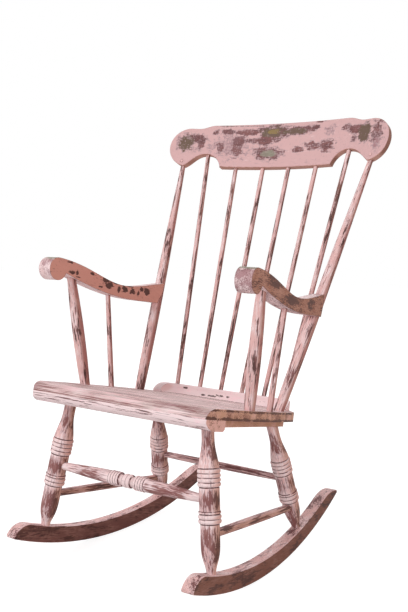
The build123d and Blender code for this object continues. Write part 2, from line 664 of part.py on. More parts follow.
def make_arm():
    """Right arm: an S-curved board with a scrolled front, coped over the back post."""
    plane = arm_plane()
    run = plane.to_local_coords(ARM_BACK).X
    end_top = (run + ARM_WASTE, ARM_BACK_TOP + ARM_WASTE * ARM_BACK_RISE)
    end_bottom = (run + ARM_WASTE, ARM_BACK_BOTTOM)
    foot, top = POST_AXIS
    with BuildPart() as arm:
        with BuildSketch(plane):
            with BuildLine():
                crown = (0, SCROLL_HEIGHT + SCROLL_RADIUS)
                throat_angle = throat_on_scroll()
                throat = (
                    SCROLL_RADIUS * cos(radians(throat_angle)),
                    SCROLL_HEIGHT + SCROLL_RADIUS * sin(radians(throat_angle)),
                )
                CenterArc((0, SCROLL_HEIGHT), SCROLL_RADIUS, 90, 270 + throat_angle)
                Spline(
                    crown, (ARM_DIP_AT, ARM_DIP_HEIGHT), end_top,
                    tangents=[(1, 0), (1, ARM_BACK_RISE)],
                )
                Line(end_top, end_bottom)
                Spline(
                    end_bottom, (ARM_UNDER_AT, ARM_UNDER_HEIGHT), ARM_THROAT,
                    tangents=[(-1, 0), (-1, ARM_THROAT_RISE)],
                )
                Line(ARM_THROAT, throat)
            make_face()
        extrude(amount=ARM_FRONT_WIDTH, both=True)
        with BuildSketch():
            with BuildLine():
                Polyline(*arm_plan(run), close=True)
            make_face()
        extrude(amount=2 * SCROLL_HEIGHT, mode=Mode.INTERSECT)
        behind = Vector(plane.x_dir.X, plane.x_dir.Y, 0)
        end = foot - behind * ARM_COPE_SETBACK
        post_run = (top - foot).normalized()
        split(
            bisect_by=Plane(origin=end, z_dir=behind - post_run * behind.dot(post_run)),
            keep=Keep.BOTTOM,
        )
        with BuildSketch(Plane(origin=foot, z_dir=post_run)):
            Circle(POST_BELLY_DIAMETER / 2 + SOCKET_GAP)
        extrude(amount=2 * SCROLL_HEIGHT, mode=Mode.SUBTRACT)
        for axis, diameter, depth in (
            (ARM_POST_AXIS, ARM_POST_TOP_DIAMETER, ARM_POST_TENON),
            (ARM_SPINDLE_AXIS, ARM_SPINDLE_TOP_DIAMETER, ARM_SPINDLE_TENON),
        ):
            lower, upper = axis
            bore(upper, upper * 2 - lower, diameter, depth)
        head, tip = arm_screw_axis()
        bore(head, tip, ARM_SCREW_DIAMETER, (tip - head).length)
    return arm.part


def throat_on_scroll():
    """Angle on the scroll, in degrees, that the throat's inner corner lies at."""
    return degrees(atan2(ARM_THROAT[1] - SCROLL_HEIGHT, ARM_THROAT[0]))


def arm_plan(run):
    """Corners of the arm's tapered plan."""
    plane = arm_plane()
    corners = []
    for distance, side in ((-2 * SCROLL_RADIUS, 1), (run, 1), (run, -1), (-2 * SCROLL_RADIUS, -1)):
        half = ARM_FRONT_WIDTH / 2 if distance < 0 else ARM_BACK_WIDTH / 2
        corner = plane.origin + plane.x_dir * distance + plane.z_dir * (side * half)
        corners.append((corner.X, corner.Y))
    return corners


def make_arm_screw():
    """Right-hand wood screw, its head let into the back of the post."""
    head, tip = arm_screw_axis()
    with BuildPart() as arm_screw:
        peg(head, tip, ARM_SCREW_DIAMETER)
        peg(head, along(head, tip, ARM_SCREW_HEAD_HEIGHT), ARM_SCREW_HEAD_DIAMETER)
    return arm_screw.part


# ================================================================ legs, stretchers and rockers
def make_leg(axis, sockets):
    """Turned leg, trimmed to the cleat above and to the rocker's curve below.

    Each socket is the mouth of a stretcher's hole, the far end of that stretcher and its size.
    """
    top, foot = axis
    length = (foot - top).length

    def outline():
        neck = LEG_NECK_DIAMETER / 2
        flare = (LEG_NECK_LENGTH + LEG_FLARE_LENGTH, LEG_FLARE_DIAMETER / 2)
        Polyline((-BORE_LEAD, 0), (-BORE_LEAD, neck), (0, neck))
        Spline(
            (0, neck), (LEG_NECK_LENGTH, LEG_NECK_END_DIAMETER / 2), flare,
            tangents=[(1, 0), (1, LEG_FLARE_SLOPE)],
        )
        upper_low = UPPER_BEAD_DIAMETER / 2 - BEAD_GROOVE
        upper = part_from(*flare, upper_low)
        upper_end = beads(upper, UPPER_BEAD_COUNT, UPPER_BEAD_PITCH, UPPER_BEAD_DIAMETER, BEAD_GROOVE)
        middle = LEG_MIDDLE_DIAMETER / 2
        middle_start = part_from(upper_end, upper_low, middle)
        middle_end = middle_start + LEG_MIDDLE_LENGTH
        collar = LOWER_COLLAR_DIAMETER / 2
        collar_end = middle_end + LOWER_COLLAR
        Polyline(
            (middle_start, middle), (middle_end, middle),
            (middle_end + TURNING_STEP, collar), (collar_end, collar),
        )
        lower_low = LOWER_BEAD_DIAMETER / 2 - BEAD_GROOVE
        lower = part_from(collar_end, collar, lower_low)
        lower_end = beads(lower, LOWER_BEAD_COUNT, LOWER_BEAD_PITCH, LOWER_BEAD_DIAMETER, BEAD_GROOVE)
        vase = LEG_LOWER_DIAMETER / 2
        taper = (length - LEG_TAPER_LENGTH, vase)
        Line((part_from(lower_end, lower_low, vase), vase), taper)
        foot_point = (length, LEG_FOOT_DIAMETER / 2)
        Spline(
            taper, (length - LEG_ANKLE_UP, LEG_ANKLE_DIAMETER / 2), foot_point,
            tangents=[(1, 0), (1, 0)],
        )
        beyond = length + BORE_LEAD
        Polyline(foot_point, (beyond, LEG_FOOT_DIAMETER / 2), (beyond, 0), (-BORE_LEAD, 0))

    with BuildPart() as leg:
        turn_profile(top, foot, outline)
        split(bisect_by=Plane.XY.offset(CLEAT_UNDERSIDE - SEAT_GAP), keep=Keep.BOTTOM)
        with BuildSketch(rocker_plane()):
            Circle(ROCKER_RADIUS)
            Circle(ROCKER_TOP_RADIUS - SEAT_GAP, mode=Mode.SUBTRACT)
        extrude(amount=LEG_LOWER_DIAMETER, both=True, mode=Mode.SUBTRACT)
        peg(along(top, foot, LEG_NECK_LENGTH), along(top, foot, -LEG_TOP_TENON),
            LEG_TOP_TENON_DIAMETER)
        peg(along(foot, top, LEG_NECK_LENGTH), along(foot, top, -LEG_FOOT_TENON),
            LEG_FOOT_TENON_DIAMETER)
        for mouth, far_end, diameter in sockets:
            bore(mouth, mouth * 2 - far_end, diameter, STRETCHER_TENON)
    return leg.part


def leg_surface(start, end, diameter):
    """Where a stretcher's axis, running to end in a leg's middle, meets the leg's round."""
    return along(end, start, diameter / 2)


def stretcher_ends():
    """Axis ends, in the legs' surfaces, of the front, rear and right side stretchers."""
    front = along(*FRONT_LEG_AXIS, FRONT_STRETCHER_DOWN)
    rear = along(*REAR_LEG_AXIS, REAR_STRETCHER_DOWN)
    side_front = along(*FRONT_LEG_AXIS, SIDE_STRETCHER_FRONT_DOWN)
    side_rear = along(*REAR_LEG_AXIS, SIDE_STRETCHER_REAR_DOWN)
    ends = {}
    for name, (start, end), diameter in (
        ("front", (mirrored((front,), -1)[0], front), LEG_MIDDLE_DIAMETER),
        ("rear", (mirrored((rear,), -1)[0], rear), LEG_MIDDLE_DIAMETER),
        ("side", (side_front, side_rear), LEG_LOWER_DIAMETER),
    ):
        ends[name] = (leg_surface(end, start, diameter), leg_surface(start, end, diameter))
    return ends


def make_front_stretcher():
    """Turned front stretcher: two ringed swellings with a pair of beads between them."""
    start, end = stretcher_ends()["front"]
    half = (end - start).length / 2
    middle = (start + end) / 2

    def outline():
        button_low = STRETCHER_BUTTON_DIAMETER / 2 - STRETCHER_RING_GROOVE
        ring_low = STRETCHER_RING_DIAMETER / 2 - STRETCHER_RING_GROOVE
        waist = STRETCHER_WAIST_DIAMETER / 2
        tip = FRONT_STRETCHER_END_DIAMETER / 2
        Line((0, 0), (0, button_low))
        button_end = beads(0, 1, STRETCHER_BUTTON_LENGTH, STRETCHER_BUTTON_DIAMETER,
                           STRETCHER_RING_GROOVE)
        rings = button_end + STRETCHER_WAIST_LENGTH
        Polyline(
            (button_end, button_low),
            (button_end + TURNING_STEP, waist),
            (rings - TURNING_STEP, waist),
            (rings, ring_low),
        )
        rings_end = beads(rings, STRETCHER_RING_COUNT, STRETCHER_RING_PITCH, STRETCHER_RING_DIAMETER,
                          STRETCHER_RING_GROOVE)
        belly = (rings_end + TURNING_STEP, FRONT_STRETCHER_BELLY_DIAMETER / 2)
        Line((rings_end, ring_low), belly)
        Spline(belly, (half, tip), tangents=[(1, 0), (1, -FRONT_STRETCHER_END_SLOPE)])
        Polyline((half, tip), (half + STRETCHER_TENON, tip), (half + STRETCHER_TENON, 0), (0, 0))

    with BuildPart() as front_stretcher:
        turn_profile(middle, end, outline)
        mirror(about=Plane.YZ)
    return front_stretcher.part


def make_rocker():
    """Right rocker: a sawn arc with both ends rounded over, socketed for its two legs."""
    with BuildPart() as rocker:
        with BuildSketch(rocker_plane()) as board:
            with BuildLine():
                nose = sole_point(-ROCKER_NOSE, ROCKER_RADIUS)
                tail = sole_point(ROCKER_TAIL, ROCKER_RADIUS)
                top_front = sole_point(-ROCKER_NOSE + ROCKER_NOSE_ROUND, ROCKER_TOP_RADIUS)
                top_back = sole_point(ROCKER_TAIL - ROCKER_TAIL_ROUND, ROCKER_TOP_RADIUS)
                ThreePointArc(nose, (0, -ROCKER_RADIUS), tail)
                TangentArc(top_back, tail, tangent=tangent_at(top_back, 1))
                ThreePointArc(top_back, (0, -ROCKER_TOP_RADIUS), top_front)
                TangentArc(top_front, nose, tangent=tangent_at(top_front, -1))
            make_face()
            tips = board.vertices().sort_by_distance((0, 0, 0))
            fillet(tips[-2:], ROCKER_TIP_ROUND)
        extrude(amount=ROCKER_THICKNESS / 2, both=True)
        fillet(rocker.faces().sort_by(SortBy.AREA)[-2:].edges(), ROCKER_EDGE_ROUND)
        for axis in (FRONT_LEG_AXIS, REAR_LEG_AXIS):
            top, foot = axis
            bore(foot, foot * 2 - top, LEG_FOOT_TENON_DIAMETER, LEG_FOOT_TENON)
    return rocker.part


def sole_point(reach, radius):
    """Point on an arc about the sole's centre, at a level reach behind that centre."""
    return (reach, -sqrt(radius**2 - reach**2))


def tangent_at(point, sense):
    """Direction of the arc through a point, toward the back (1) or the front (-1)."""
    return (-point[1] * sense, point[0] * sense)


# ================================================================ rest pose and output
def rest_pose():
    """Tip by the recline and lift the sole's lowest point to the floor at the origin."""
    tip = Location((0, 0, 0), (-RECLINE, 0, 0))
    centre = Vector(0, ROCKER_CENTRE_Y, ROCKER_CENTRE_Z)
    slope = radians(-RECLINE)
    centre_y = centre.Y * cos(slope) - centre.Z * sin(slope)
    centre_z = centre.Y * sin(slope) + centre.Z * cos(slope)
    return Location((0, -centre_y, ROCKER_RADIUS - centre_z)) * tip


def save(piece, label):
    """Write one piece, in its rest pose, under its label."""
    placed = piece.moved(rest_pose())
    placed.label = label
    export_step(placed, f"parts/{label}.step")


def save_pair(right_piece, name):
    """Write the right-hand piece and its mirror image."""
    save(right_piece, f"right_{name}")
    save(mirror(right_piece, about=Plane.YZ), f"left_{name}")


def save_group(right_piece, label):
    """Write a right-hand fastener and its mirror image as one group of solids."""
    save(Compound([right_piece, mirror(right_piece, about=Plane.YZ)]), label)


def main():
    """Build and write every piece of the chair."""
    os.makedirs("parts", exist_ok=True)

    save(make_seat_plank(), "seat_plank")
    save(make_seat_roll(), "seat_front_roll")
    save_pair(make_cleat(), "seat_cleat")
    save(make_seat_back_rail(), "seat_back_rail")

    ends = stretcher_ends()
    side_start, side_end = ends["side"]
    front_sockets = (
        (*reversed(ends["front"]), FRONT_STRETCHER_END_DIAMETER),
        (side_start, side_end, SIDE_STRETCHER_END_DIAMETER),
    )
    rear_sockets = (
        (*reversed(ends["rear"]), REAR_STRETCHER_END_DIAMETER),
        (side_end, side_start, SIDE_STRETCHER_END_DIAMETER),
    )
    save_pair(make_leg(FRONT_LEG_AXIS, front_sockets), "front_leg")
    save_pair(make_leg(REAR_LEG_AXIS, rear_sockets), "rear_leg")

    save(make_front_stretcher(), "front_stretcher")
    rear_stretcher = make_spindle(
        ends["rear"], STRETCHER_TENON, STRETCHER_TENON,
        REAR_STRETCHER_END_DIAMETER, REAR_STRETCHER_BELLY_DIAMETER, REAR_STRETCHER_END_DIAMETER,
    )
    save(rear_stretcher, "rear_stretcher")
    side_stretcher = make_spindle(
        ends["side"], STRETCHER_TENON, STRETCHER_TENON,
        SIDE_STRETCHER_END_DIAMETER, SIDE_STRETCHER_BELLY_DIAMETER, SIDE_STRETCHER_END_DIAMETER,
    )
    save_pair(side_stretcher, "side_stretcher")
    save_pair(make_rocker(), "rocker")

    save_pair(make_arm(), "arm")
    arm_post = make_spindle(
        ARM_POST_AXIS, ARM_POST_TENON, ARM_POST_TENON,
        ARM_POST_FOOT_DIAMETER, ARM_POST_BELLY_DIAMETER, ARM_POST_TOP_DIAMETER,
    )
    save_pair(arm_post, "arm_post")
    arm_spindle = make_spindle(
        ARM_SPINDLE_AXIS, ARM_SPINDLE_TENON, ARM_SPINDLE_TENON,
        ARM_SPINDLE_FOOT_DIAMETER, (ARM_SPINDLE_FOOT_DIAMETER + ARM_SPINDLE_TOP_DIAMETER) / 2,
        ARM_SPINDLE_TOP_DIAMETER,
    )
    save_pair(arm_spindle, "arm_spindle")

    save_pair(make_back_post(), "back_post")
    for number, axis in enumerate(spindle_axes(), start=1):
        spindle = make_spindle(
            axis, SPINDLE_RAIL_TENON, SPINDLE_CREST_TENON,
            SPINDLE_FOOT_DIAMETER, SPINDLE_BELLY_DIAMETER, SPINDLE_TOP_DIAMETER,
        )
        save(spindle, f"back_spindle_{number}")
    save(make_crest_rail(), "crest_rail")
    save_group(make_crest_pin(), "crest_pins")
    save_group(make_arm_screw(), "arm_screws")


if __name__ == "__main__":
    main()
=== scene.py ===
"""Dresses a rocking chair in rubbed-through chalk paint and sets it in a plain studio.

The chair's frame comes packed, in metres, with Z up and the sitter facing -Y.  This script gives
every turned, sawn and bent piece its own coat of paint, adds the pegs and screws that hold the
back together, and places the floor, the lamps and the camera.
"""

import json
import logging
import math
from dataclasses import dataclass, replace
from enum import Enum

import bmesh
import bpy
import numpy as np
from mathutils import Matrix, Vector

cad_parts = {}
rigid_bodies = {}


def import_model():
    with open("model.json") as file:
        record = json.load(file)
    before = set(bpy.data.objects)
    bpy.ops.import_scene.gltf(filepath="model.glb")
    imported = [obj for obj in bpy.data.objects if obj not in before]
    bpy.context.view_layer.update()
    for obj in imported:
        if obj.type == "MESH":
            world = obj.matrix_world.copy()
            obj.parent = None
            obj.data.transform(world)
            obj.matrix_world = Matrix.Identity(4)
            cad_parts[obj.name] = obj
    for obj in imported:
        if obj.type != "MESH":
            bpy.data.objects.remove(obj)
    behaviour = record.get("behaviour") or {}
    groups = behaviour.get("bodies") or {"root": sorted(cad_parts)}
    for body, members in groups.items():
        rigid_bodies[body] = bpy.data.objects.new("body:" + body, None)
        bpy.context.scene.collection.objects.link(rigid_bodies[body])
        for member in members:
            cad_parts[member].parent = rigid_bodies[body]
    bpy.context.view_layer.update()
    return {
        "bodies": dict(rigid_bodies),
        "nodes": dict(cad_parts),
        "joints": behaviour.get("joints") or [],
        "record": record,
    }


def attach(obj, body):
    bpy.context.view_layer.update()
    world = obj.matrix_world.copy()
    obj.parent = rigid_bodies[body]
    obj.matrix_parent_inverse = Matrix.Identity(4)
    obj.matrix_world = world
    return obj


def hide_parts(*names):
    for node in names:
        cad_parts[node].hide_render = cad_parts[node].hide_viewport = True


log = logging.getLogger("chair")

MM = 0.001
# Corners nearer to each other than this are welded, and nearer to a cut lie on it, in metres.
WELD = 0.00001
ON_CUT = 0.0000001


# ---------------------------------------------------------------- places on the chair
@dataclass(frozen=True)
class Pose:
    """How a frame leans back and where it stands in another, in degrees and metres."""

    lean: float
    back: float
    height: float

    def matrix(self) -> Matrix:
        """Transform from the frame to the other one."""
        tip = Matrix.Rotation(-math.radians(self.lean), 4, "X")
        return Matrix.Translation((0.0, self.back, self.height)) @ tip


# Transforms to the room at rest: from the seat's own frame, from its side with x to the front,
# and from the crest rail's face with x across and z up it.
SEAT = Pose(11.5, 0.04883, 0.36096).matrix()
SEAT_SIDE = SEAT @ Matrix.Rotation(-math.pi / 2, 4, "Z")
CREST = SEAT @ Pose(7.8, 0.2034, 0.6425).matrix()


# ---------------------------------------------------------------- colours
class Tone(Enum):
    """Named colours of the paint, its undercoats and the wood, as screen values."""

    PINK = "E6B8B4"
    BRIGHT_PINK = "F0C6C9"
    # Painted light: the pink brightened to stand in for the light on the seat's roll and back rail.
    SUNLIT_PINK = "FFDCE0"
    DUSTY_PINK = "D8AEAD"
    WARM_PINK = "DBA498"
    PALE = "F8E2E2"
    LILAC_GREY = "C6ABAF"
    SLATE_LILAC = "A88E92"
    MAUVE = "AE8084"
    BURGUNDY = "804A47"
    DARK_BURGUNDY = "5F3233"
    PLUM = "96686C"
    DUSTY_RED = "996761"
    OLIVE = "5F4C34"
    OCHRE = "8C7438"
    GREY_GREEN = "8F8C78"
    TERRACOTTA = "D08E7E"
    TAN = "B68370"
    SAWN_TAN = "C08C70"
    BROWN = "A67260"
    DRIFTWOOD = "985E46"
    CHESTNUT = "6C4038"
    PEAT = "8C5E50"
    ROSEWOOD = "A0625A"
    RUST_BROWN = "7A4A3A"
    DARK_BROWN = "57332A"
    UMBER = "432520"
    STEEL = "77716C"

    @property
    def linear(self) -> tuple[float, float, float, float]:
        """The colour in the linear space that shaders use, with full alpha."""
        channels = [int(self.value[i:i + 2], 16) / 255 for i in (0, 2, 4)]
        return (*[c / 12.92 if c <= 0.04045 else ((c + 0.055) / 1.055) ** 2.4
                  for c in channels], 1.0)


# ---------------------------------------------------------------- node wiring
Socket = bpy.types.NodeSocket
Tree = bpy.types.NodeTree


class Wires:
    """Short ways to add and join shader nodes in one tree."""

    def __init__(self, tree: Tree) -> None:
        """Keep the tree, a material's or a group's, that nodes are added to."""
        self.tree = tree

    def node(self, kind: str, **settings: object) -> bpy.types.Node:
        """Add one node and set its properties.

        Args:
            kind: the node's type name.
            **settings: properties of the node and their values.

        Returns:
            The new node.
        """
        made = self.tree.nodes.new(kind)
        for name, value in settings.items():
            setattr(made, name, value)
        return made

    def feed(self, socket: Socket, value: object) -> None:
        """Join a socket to another one, or set its plain value.

        Args:
            socket: the input to fill.
            value: an output socket, a number, a vector or a colour.
        """
        if isinstance(value, Socket):
            self.tree.links.new(value, socket)
        elif value is not None:
            socket.default_value = value

    def fill(self, node: bpy.types.Node, **values: object) -> bpy.types.Node:
        """Join or set a node's inputs.

        Args:
            node: the node.
            **values: sockets or plain values by the input's name, with underscores for spaces.

        Returns:
            The same node.
        """
        for name, value in values.items():
            self.feed(node.inputs[name.replace("_", " ")], value)
        return node

    def fill_in_order(self, node: bpy.types.Node, *values: object) -> bpy.types.Node:
        """Join or set a node's first inputs, and return the node."""
        for socket, value in zip(node.inputs, values):
            self.feed(socket, value)
        return node

    def math(self, operation: str, first: object, second: object = None,
             clamp: bool = False) -> Socket:
        """Number from one or two numbers by a Math node, held between 0 and 1 if clamped."""
        made = self.node("ShaderNodeMath", operation=operation, use_clamp=clamp)
        return self.fill_in_order(made, first, second).outputs[0]

    def plus(self, first: object, second: object) -> Socket:
        """Sum of two sockets or numbers."""
        return self.math("ADD", first, second)

    def minus(self, first: object, second: object) -> Socket:
        """First socket or number less the second."""
        return self.math("SUBTRACT", first, second)

    def times(self, first: object, second: object) -> Socket:
        """Product of two sockets or numbers."""
        return self.math("MULTIPLY", first, second)

    def larger(self, first: object, second: object) -> Socket:
        """The larger of two sockets or numbers."""
        return self.math("MAXIMUM", first, second)

    def vector(self, operation: str, first: object, second: object = None,
               output: int = 0) -> Socket:
        """Vector from one or two vectors, or with output 1 their length or product."""
        made = self.node("ShaderNodeVectorMath", operation=operation)
        return self.fill_in_order(made, first, second).outputs[output]

    def ramp(self, value: object, low: object, high: object,
             smooth: bool = True) -> Socket:
        """0 below low, 1 above high and a slope between them.

        Args:
            value: the number to map.
            low: where the slope starts.
            high: where the slope ends, below low for a falling one.
            smooth: whether the slope's ends are rounded.

        Returns:
            The mapped number's socket.
        """
        kind = "SMOOTHSTEP" if smooth else "LINEAR"
        made = self.node("ShaderNodeMapRange", interpolation_type=kind)
        return self.fill_in_order(made, value, low, high).outputs[0]

    def clouds(self, place: object, size: object, shift: object = None, detail: float = 3.0,
               roughness: float = 0.60, trim: float | None = None) -> Socket:
        """Cloudy number between 0 and 1.

        Args:
            place: coordinates on the piece.
            size: the clouds' size along each of them.
            shift: an offset that moves the clouds on, or None.
            detail: how many finer layers are added.
            roughness: how strong the finer layers are.
            trim: what is cut off at either end before the rest is stretched, or None.

        Returns:
            The number's socket.
        """
        at = self.vector("DIVIDE", place, size)
        if shift is not None:
            at = self.vector("ADD", at, shift)
        made = self.node("ShaderNodeTexNoise", noise_dimensions="3D")
        cloudy = self.fill(made, Vector=at, Scale=1.0, Detail=detail,
                           Roughness=roughness).outputs[0]
        return cloudy if trim is None else self.ramp(cloudy, trim, 1.0 - trim, smooth=False)

    def facing(self, way: tuple[float, float, float]) -> Socket:
        """How nearly the surface looks one way: 1 right along it and -1 right against it."""
        normal = self.node("ShaderNodeNewGeometry").outputs["Normal"]
        return self.vector("DOT_PRODUCT", normal, way, output=1)

    def highest(self, cloudy: object, share: object, slope: float) -> Socket:
        """Where a cloudy number is highest, over a share of the surface with soft edges."""
        limit = self.minus(0.75, self.times(share, 0.5))
        return self.ramp(cloudy, limit, self.plus(limit, slope))

    def mix(self, share: object, first: object, second: object) -> Socket:
        """Colour between two colours.

        Args:
            share: how much of the second colour shows.
            first: first colour or socket.
            second: second colour or socket.

        Returns:
            The colour's socket.
        """
        made = self.node("ShaderNodeMix", data_type="RGBA")
        self.feed(made.inputs[0], share)
        self.feed(made.inputs[6], first)
        self.feed(made.inputs[7], second)
        return made.outputs[2]

    def shift(self, seed: object, steps: tuple[float, float, float]) -> Socket:
        """Offset that moves a pattern on from one piece to the next, steps times its seed."""
        made = self.node("ShaderNodeVectorMath", operation="SCALE")
        return self.fill(made, Vector=steps, Scale=seed).outputs[0]

    def group(self, tree: Tree, **values: object) -> bpy.types.Node:
        """Place a node group and fill its inputs, given by name."""
        return self.fill(self.node("ShaderNodeGroup", node_tree=tree), **values)


class Effects:
    """The shader node groups that the chair's paints share, each built once.  Lengths in metres."""

    ORIGIN = (0.0, 0.0, 0.0)
    STREAK = (0.03, 0.003, 0.003)
    # Strokes across the grain: their width and length against those of strokes along it.
    CROSS_WIDTH = 1.3
    CROSS_LENGTH = 0.6
    # Thinned paint starts this far below bare wood, and is full this far below it.
    HAZE_START = 0.45
    HAZE_FULL = 0.02
    # The size of a patch's rags and how far they push its edge, and the distances from its
    # centre, 1 at its reach, between which it fades in.
    LUMP = (0.016, 0.016, 0.010)
    LUMP_PUSH = 4.0
    PATCH_BAND = (1.50, 0.62)
    OUTER_RING_EXTRA = 0.6
    RING_CORE = 0.35
    # The dot product of the true and the rounded normal, from a flat face to an arris.
    ARRIS_BAND = (0.985, 0.80)
    CHIP = (0.018, 0.018, 0.018)
    CHIP_SLOPE = 0.08
    # How shut in a place is where the painted shade starts, and where it hides the coat.
    HOLLOW_SHADE_BAND = (0.18, 0.55)
    BLOTCH = (0.05, 0.03, 0.03)
    # The share of brush marks in a coat's unevenness; blotches make up the rest.
    BRUSH_SHARE = 0.55
    PALE_SLOPE = 0.22
    PALE_STRENGTH = 0.85
    UNDER_BAND = (0.38, 0.72)
    # Roughness of a sound coat and how much smoother the worn wood is.
    ROUGHNESS = 0.64
    WORN_SMOOTHER = 0.16
    WORN_HEIGHT = -0.7
    BRUSH_HEIGHT = 0.35
    LINE_CORE = 0.002
    LINE_SPELL = (0.09, 0.014, 0.014)
    LINE_SLOPE = 0.10
    SAMPLES = 6

    def __init__(self) -> None:
        """Build every group."""
        self.rubbing = self._rubbing()
        self.patch = self._patch()
        self.rings = self._rings()
        self.edges = self._edges()
        self.shade_hollows = self._shade_hollows()
        self.coat = self._coat()
        self.lines = self._lines()

    @staticmethod
    def _open(name: str, inputs: dict[str, object],
              outputs: tuple[str, ...] = ("Mask",)) -> tuple[Wires, dict, dict]:
        """Start a group with named sockets.

        Args:
            name: the group's name.
            inputs: default values by socket name; a tuple of 3 is a vector, of 4 a colour.
            outputs: names of the outputs; Color is a colour and the others are numbers.

        Returns:
            The group's wires, its inputs by name and its outputs by name.
        """
        tree = bpy.data.node_groups.new(name, "ShaderNodeTree")
        kinds = {3: "NodeSocketVector", 4: "NodeSocketColor"}
        for label, value in inputs.items():
            kind = kinds[len(value)] if isinstance(value, tuple) else "NodeSocketFloat"
            socket = tree.interface.new_socket(label, in_out="INPUT", socket_type=kind)
            socket.default_value = value
        for label in outputs:
            kind = "NodeSocketColor" if label == "Color" else "NodeSocketFloat"
            tree.interface.new_socket(label, in_out="OUTPUT", socket_type=kind)
        wires = Wires(tree)
        entry = wires.node("NodeGroupInput")
        leave = wires.node("NodeGroupOutput")
        given = {label: entry.outputs[label] for label in inputs}
        wanted = {label: leave.inputs[label] for label in outputs}
        return wires, given, wanted

    def _rubbing(self) -> Tree:
        """Where rubbing along the grain has gone through the top coat, in broken hatching.

        Returns:
            The group, with masks of bare and of thinned places.
        """
        w, given, wanted = self._open(
            "rubbed_along_grain",
            {"Place": self.ORIGIN, "Streak": self.STREAK, "Cloud": (0.12, 0.05, 0.05),
             "Seed": 0.0, "Amount": 0.2, "Spread": 0.3, "Cross": 0.0, "Softness": 0.06,
             "Extra": 0.0},
            ("Worn", "Haze"))
        place, soft = given["Place"], given["Softness"]
        shift = w.shift(given["Seed"], (11.3, 7.1, 5.7))
        fine = w.clouds(place, given["Streak"], shift, roughness=0.62, trim=0.28)
        parts = w.fill(w.node("ShaderNodeSeparateXYZ"), Vector=given["Streak"]).outputs
        upright = w.fill(w.node("ShaderNodeCombineXYZ"), Y=parts[1],
                         X=w.times(parts[2], self.CROSS_WIDTH),
                         Z=w.times(parts[0], self.CROSS_LENGTH)).outputs[0]
        cross = w.clouds(place, upright, shift, trim=0.28)
        fine = w.larger(fine, w.times(cross, given["Cross"]))
        broad = w.clouds(place, given["Cloud"], shift, roughness=0.55, trim=0.30)
        swing = w.times(w.minus(broad, 0.5), w.times(given["Spread"], 2.0))
        share = w.plus(w.plus(given["Amount"], swing), given["Extra"])
        limit = w.minus(1.0, share)
        w.feed(wanted["Worn"], w.ramp(fine, w.minus(limit, soft), w.plus(limit, soft)))
        w.feed(wanted["Haze"], w.ramp(fine, w.minus(limit, self.HAZE_START),
                                      w.minus(limit, self.HAZE_FULL)))
        return w.tree

    def _patch(self) -> Tree:
        """How strongly a rubbed place round a centre is worn, fading out to a ragged edge.

        Returns:
            The group, with a mask.
        """
        w, given, wanted = self._open(
            "ragged_patch",
            {"Place": self.ORIGIN, "Centre": self.ORIGIN, "Reach": (0.03, 0.5, 0.02),
             "Ragged": 0.4})
        away = w.vector("SUBTRACT", given["Place"], given["Centre"])
        distance = w.vector("LENGTH", w.vector("DIVIDE", away, given["Reach"]), output=1)
        lumps = w.clouds(given["Place"], self.LUMP)
        push = w.times(w.times(w.minus(lumps, 0.5), given["Ragged"]), self.LUMP_PUSH)
        w.feed(wanted["Mask"], w.ramp(w.plus(distance, push), *self.PATCH_BAND))
        return w.tree

    def _rings(self) -> Tree:
        """Thin lines cut round a turned piece at even distances, the outer two wider.

        Returns:
            The group, with a mask.
        """
        w, given, wanted = self._open(
            "turned_rings",
            {"Along": 0.0, "First": 0.1, "Pitch": 0.01, "Count": 4.0, "Half Width": 0.001})
        step = w.math("DIVIDE", w.minus(given["Along"], given["First"]), given["Pitch"])
        nearest = w.math("MINIMUM", w.larger(w.math("ROUND", step), 0.0), given["Count"])
        away = w.times(w.math("ABSOLUTE", w.minus(step, nearest)), given["Pitch"])
        outer = w.larger(w.math("LESS_THAN", nearest, 0.5),
                         w.math("GREATER_THAN", nearest, w.minus(given["Count"], 0.5)))
        half = w.times(given["Half Width"], w.plus(1.0, w.times(outer, self.OUTER_RING_EXTRA)))
        w.feed(wanted["Mask"], w.ramp(away, half, w.times(half, self.RING_CORE)))
        return w.tree

    def _edges(self) -> Tree:
        """Where hands and knocks have bared the sharp edges.

        Returns:
            The group, with a mask.
        """
        w, given, wanted = self._open(
            "worn_edges", {"Place": self.ORIGIN, "Radius": 0.003, "Amount": 0.5, "Seed": 0.0})
        rounded = w.node("ShaderNodeBevel", samples=self.SAMPLES)
        w.feed(rounded.inputs["Radius"], given["Radius"])
        flat = w.node("ShaderNodeNewGeometry").outputs["Normal"]
        turn = w.vector("DOT_PRODUCT", rounded.outputs[0], flat, output=1)
        sharp = w.ramp(turn, *self.ARRIS_BAND)
        shift = w.shift(given["Seed"], (3.1, 9.7, 6.3))
        chips = w.clouds(given["Place"], self.CHIP, shift, detail=4.0, roughness=0.65)
        chipped = w.highest(chips, given["Amount"], self.CHIP_SLOPE)
        w.feed(wanted["Mask"], w.times(sharp, chipped))
        return w.tree

    def _shade_hollows(self) -> Tree:
        """Where ambient occlusion darkens grooves and corners to the undercoat: painted shade.

        Returns:
            The group, with a mask.
        """
        w, given, wanted = self._open("painted_shade_in_hollows", {"Reach": 0.006, "Amount": 0.6})
        shut = w.node("ShaderNodeAmbientOcclusion", samples=self.SAMPLES, only_local=True)
        w.feed(shut.inputs["Distance"], given["Reach"])
        closed = w.ramp(w.minus(1.0, shut.outputs["AO"]), *self.HOLLOW_SHADE_BAND)
        w.feed(wanted["Mask"], w.math("MULTIPLY", closed, given["Amount"], clamp=True))
        return w.tree

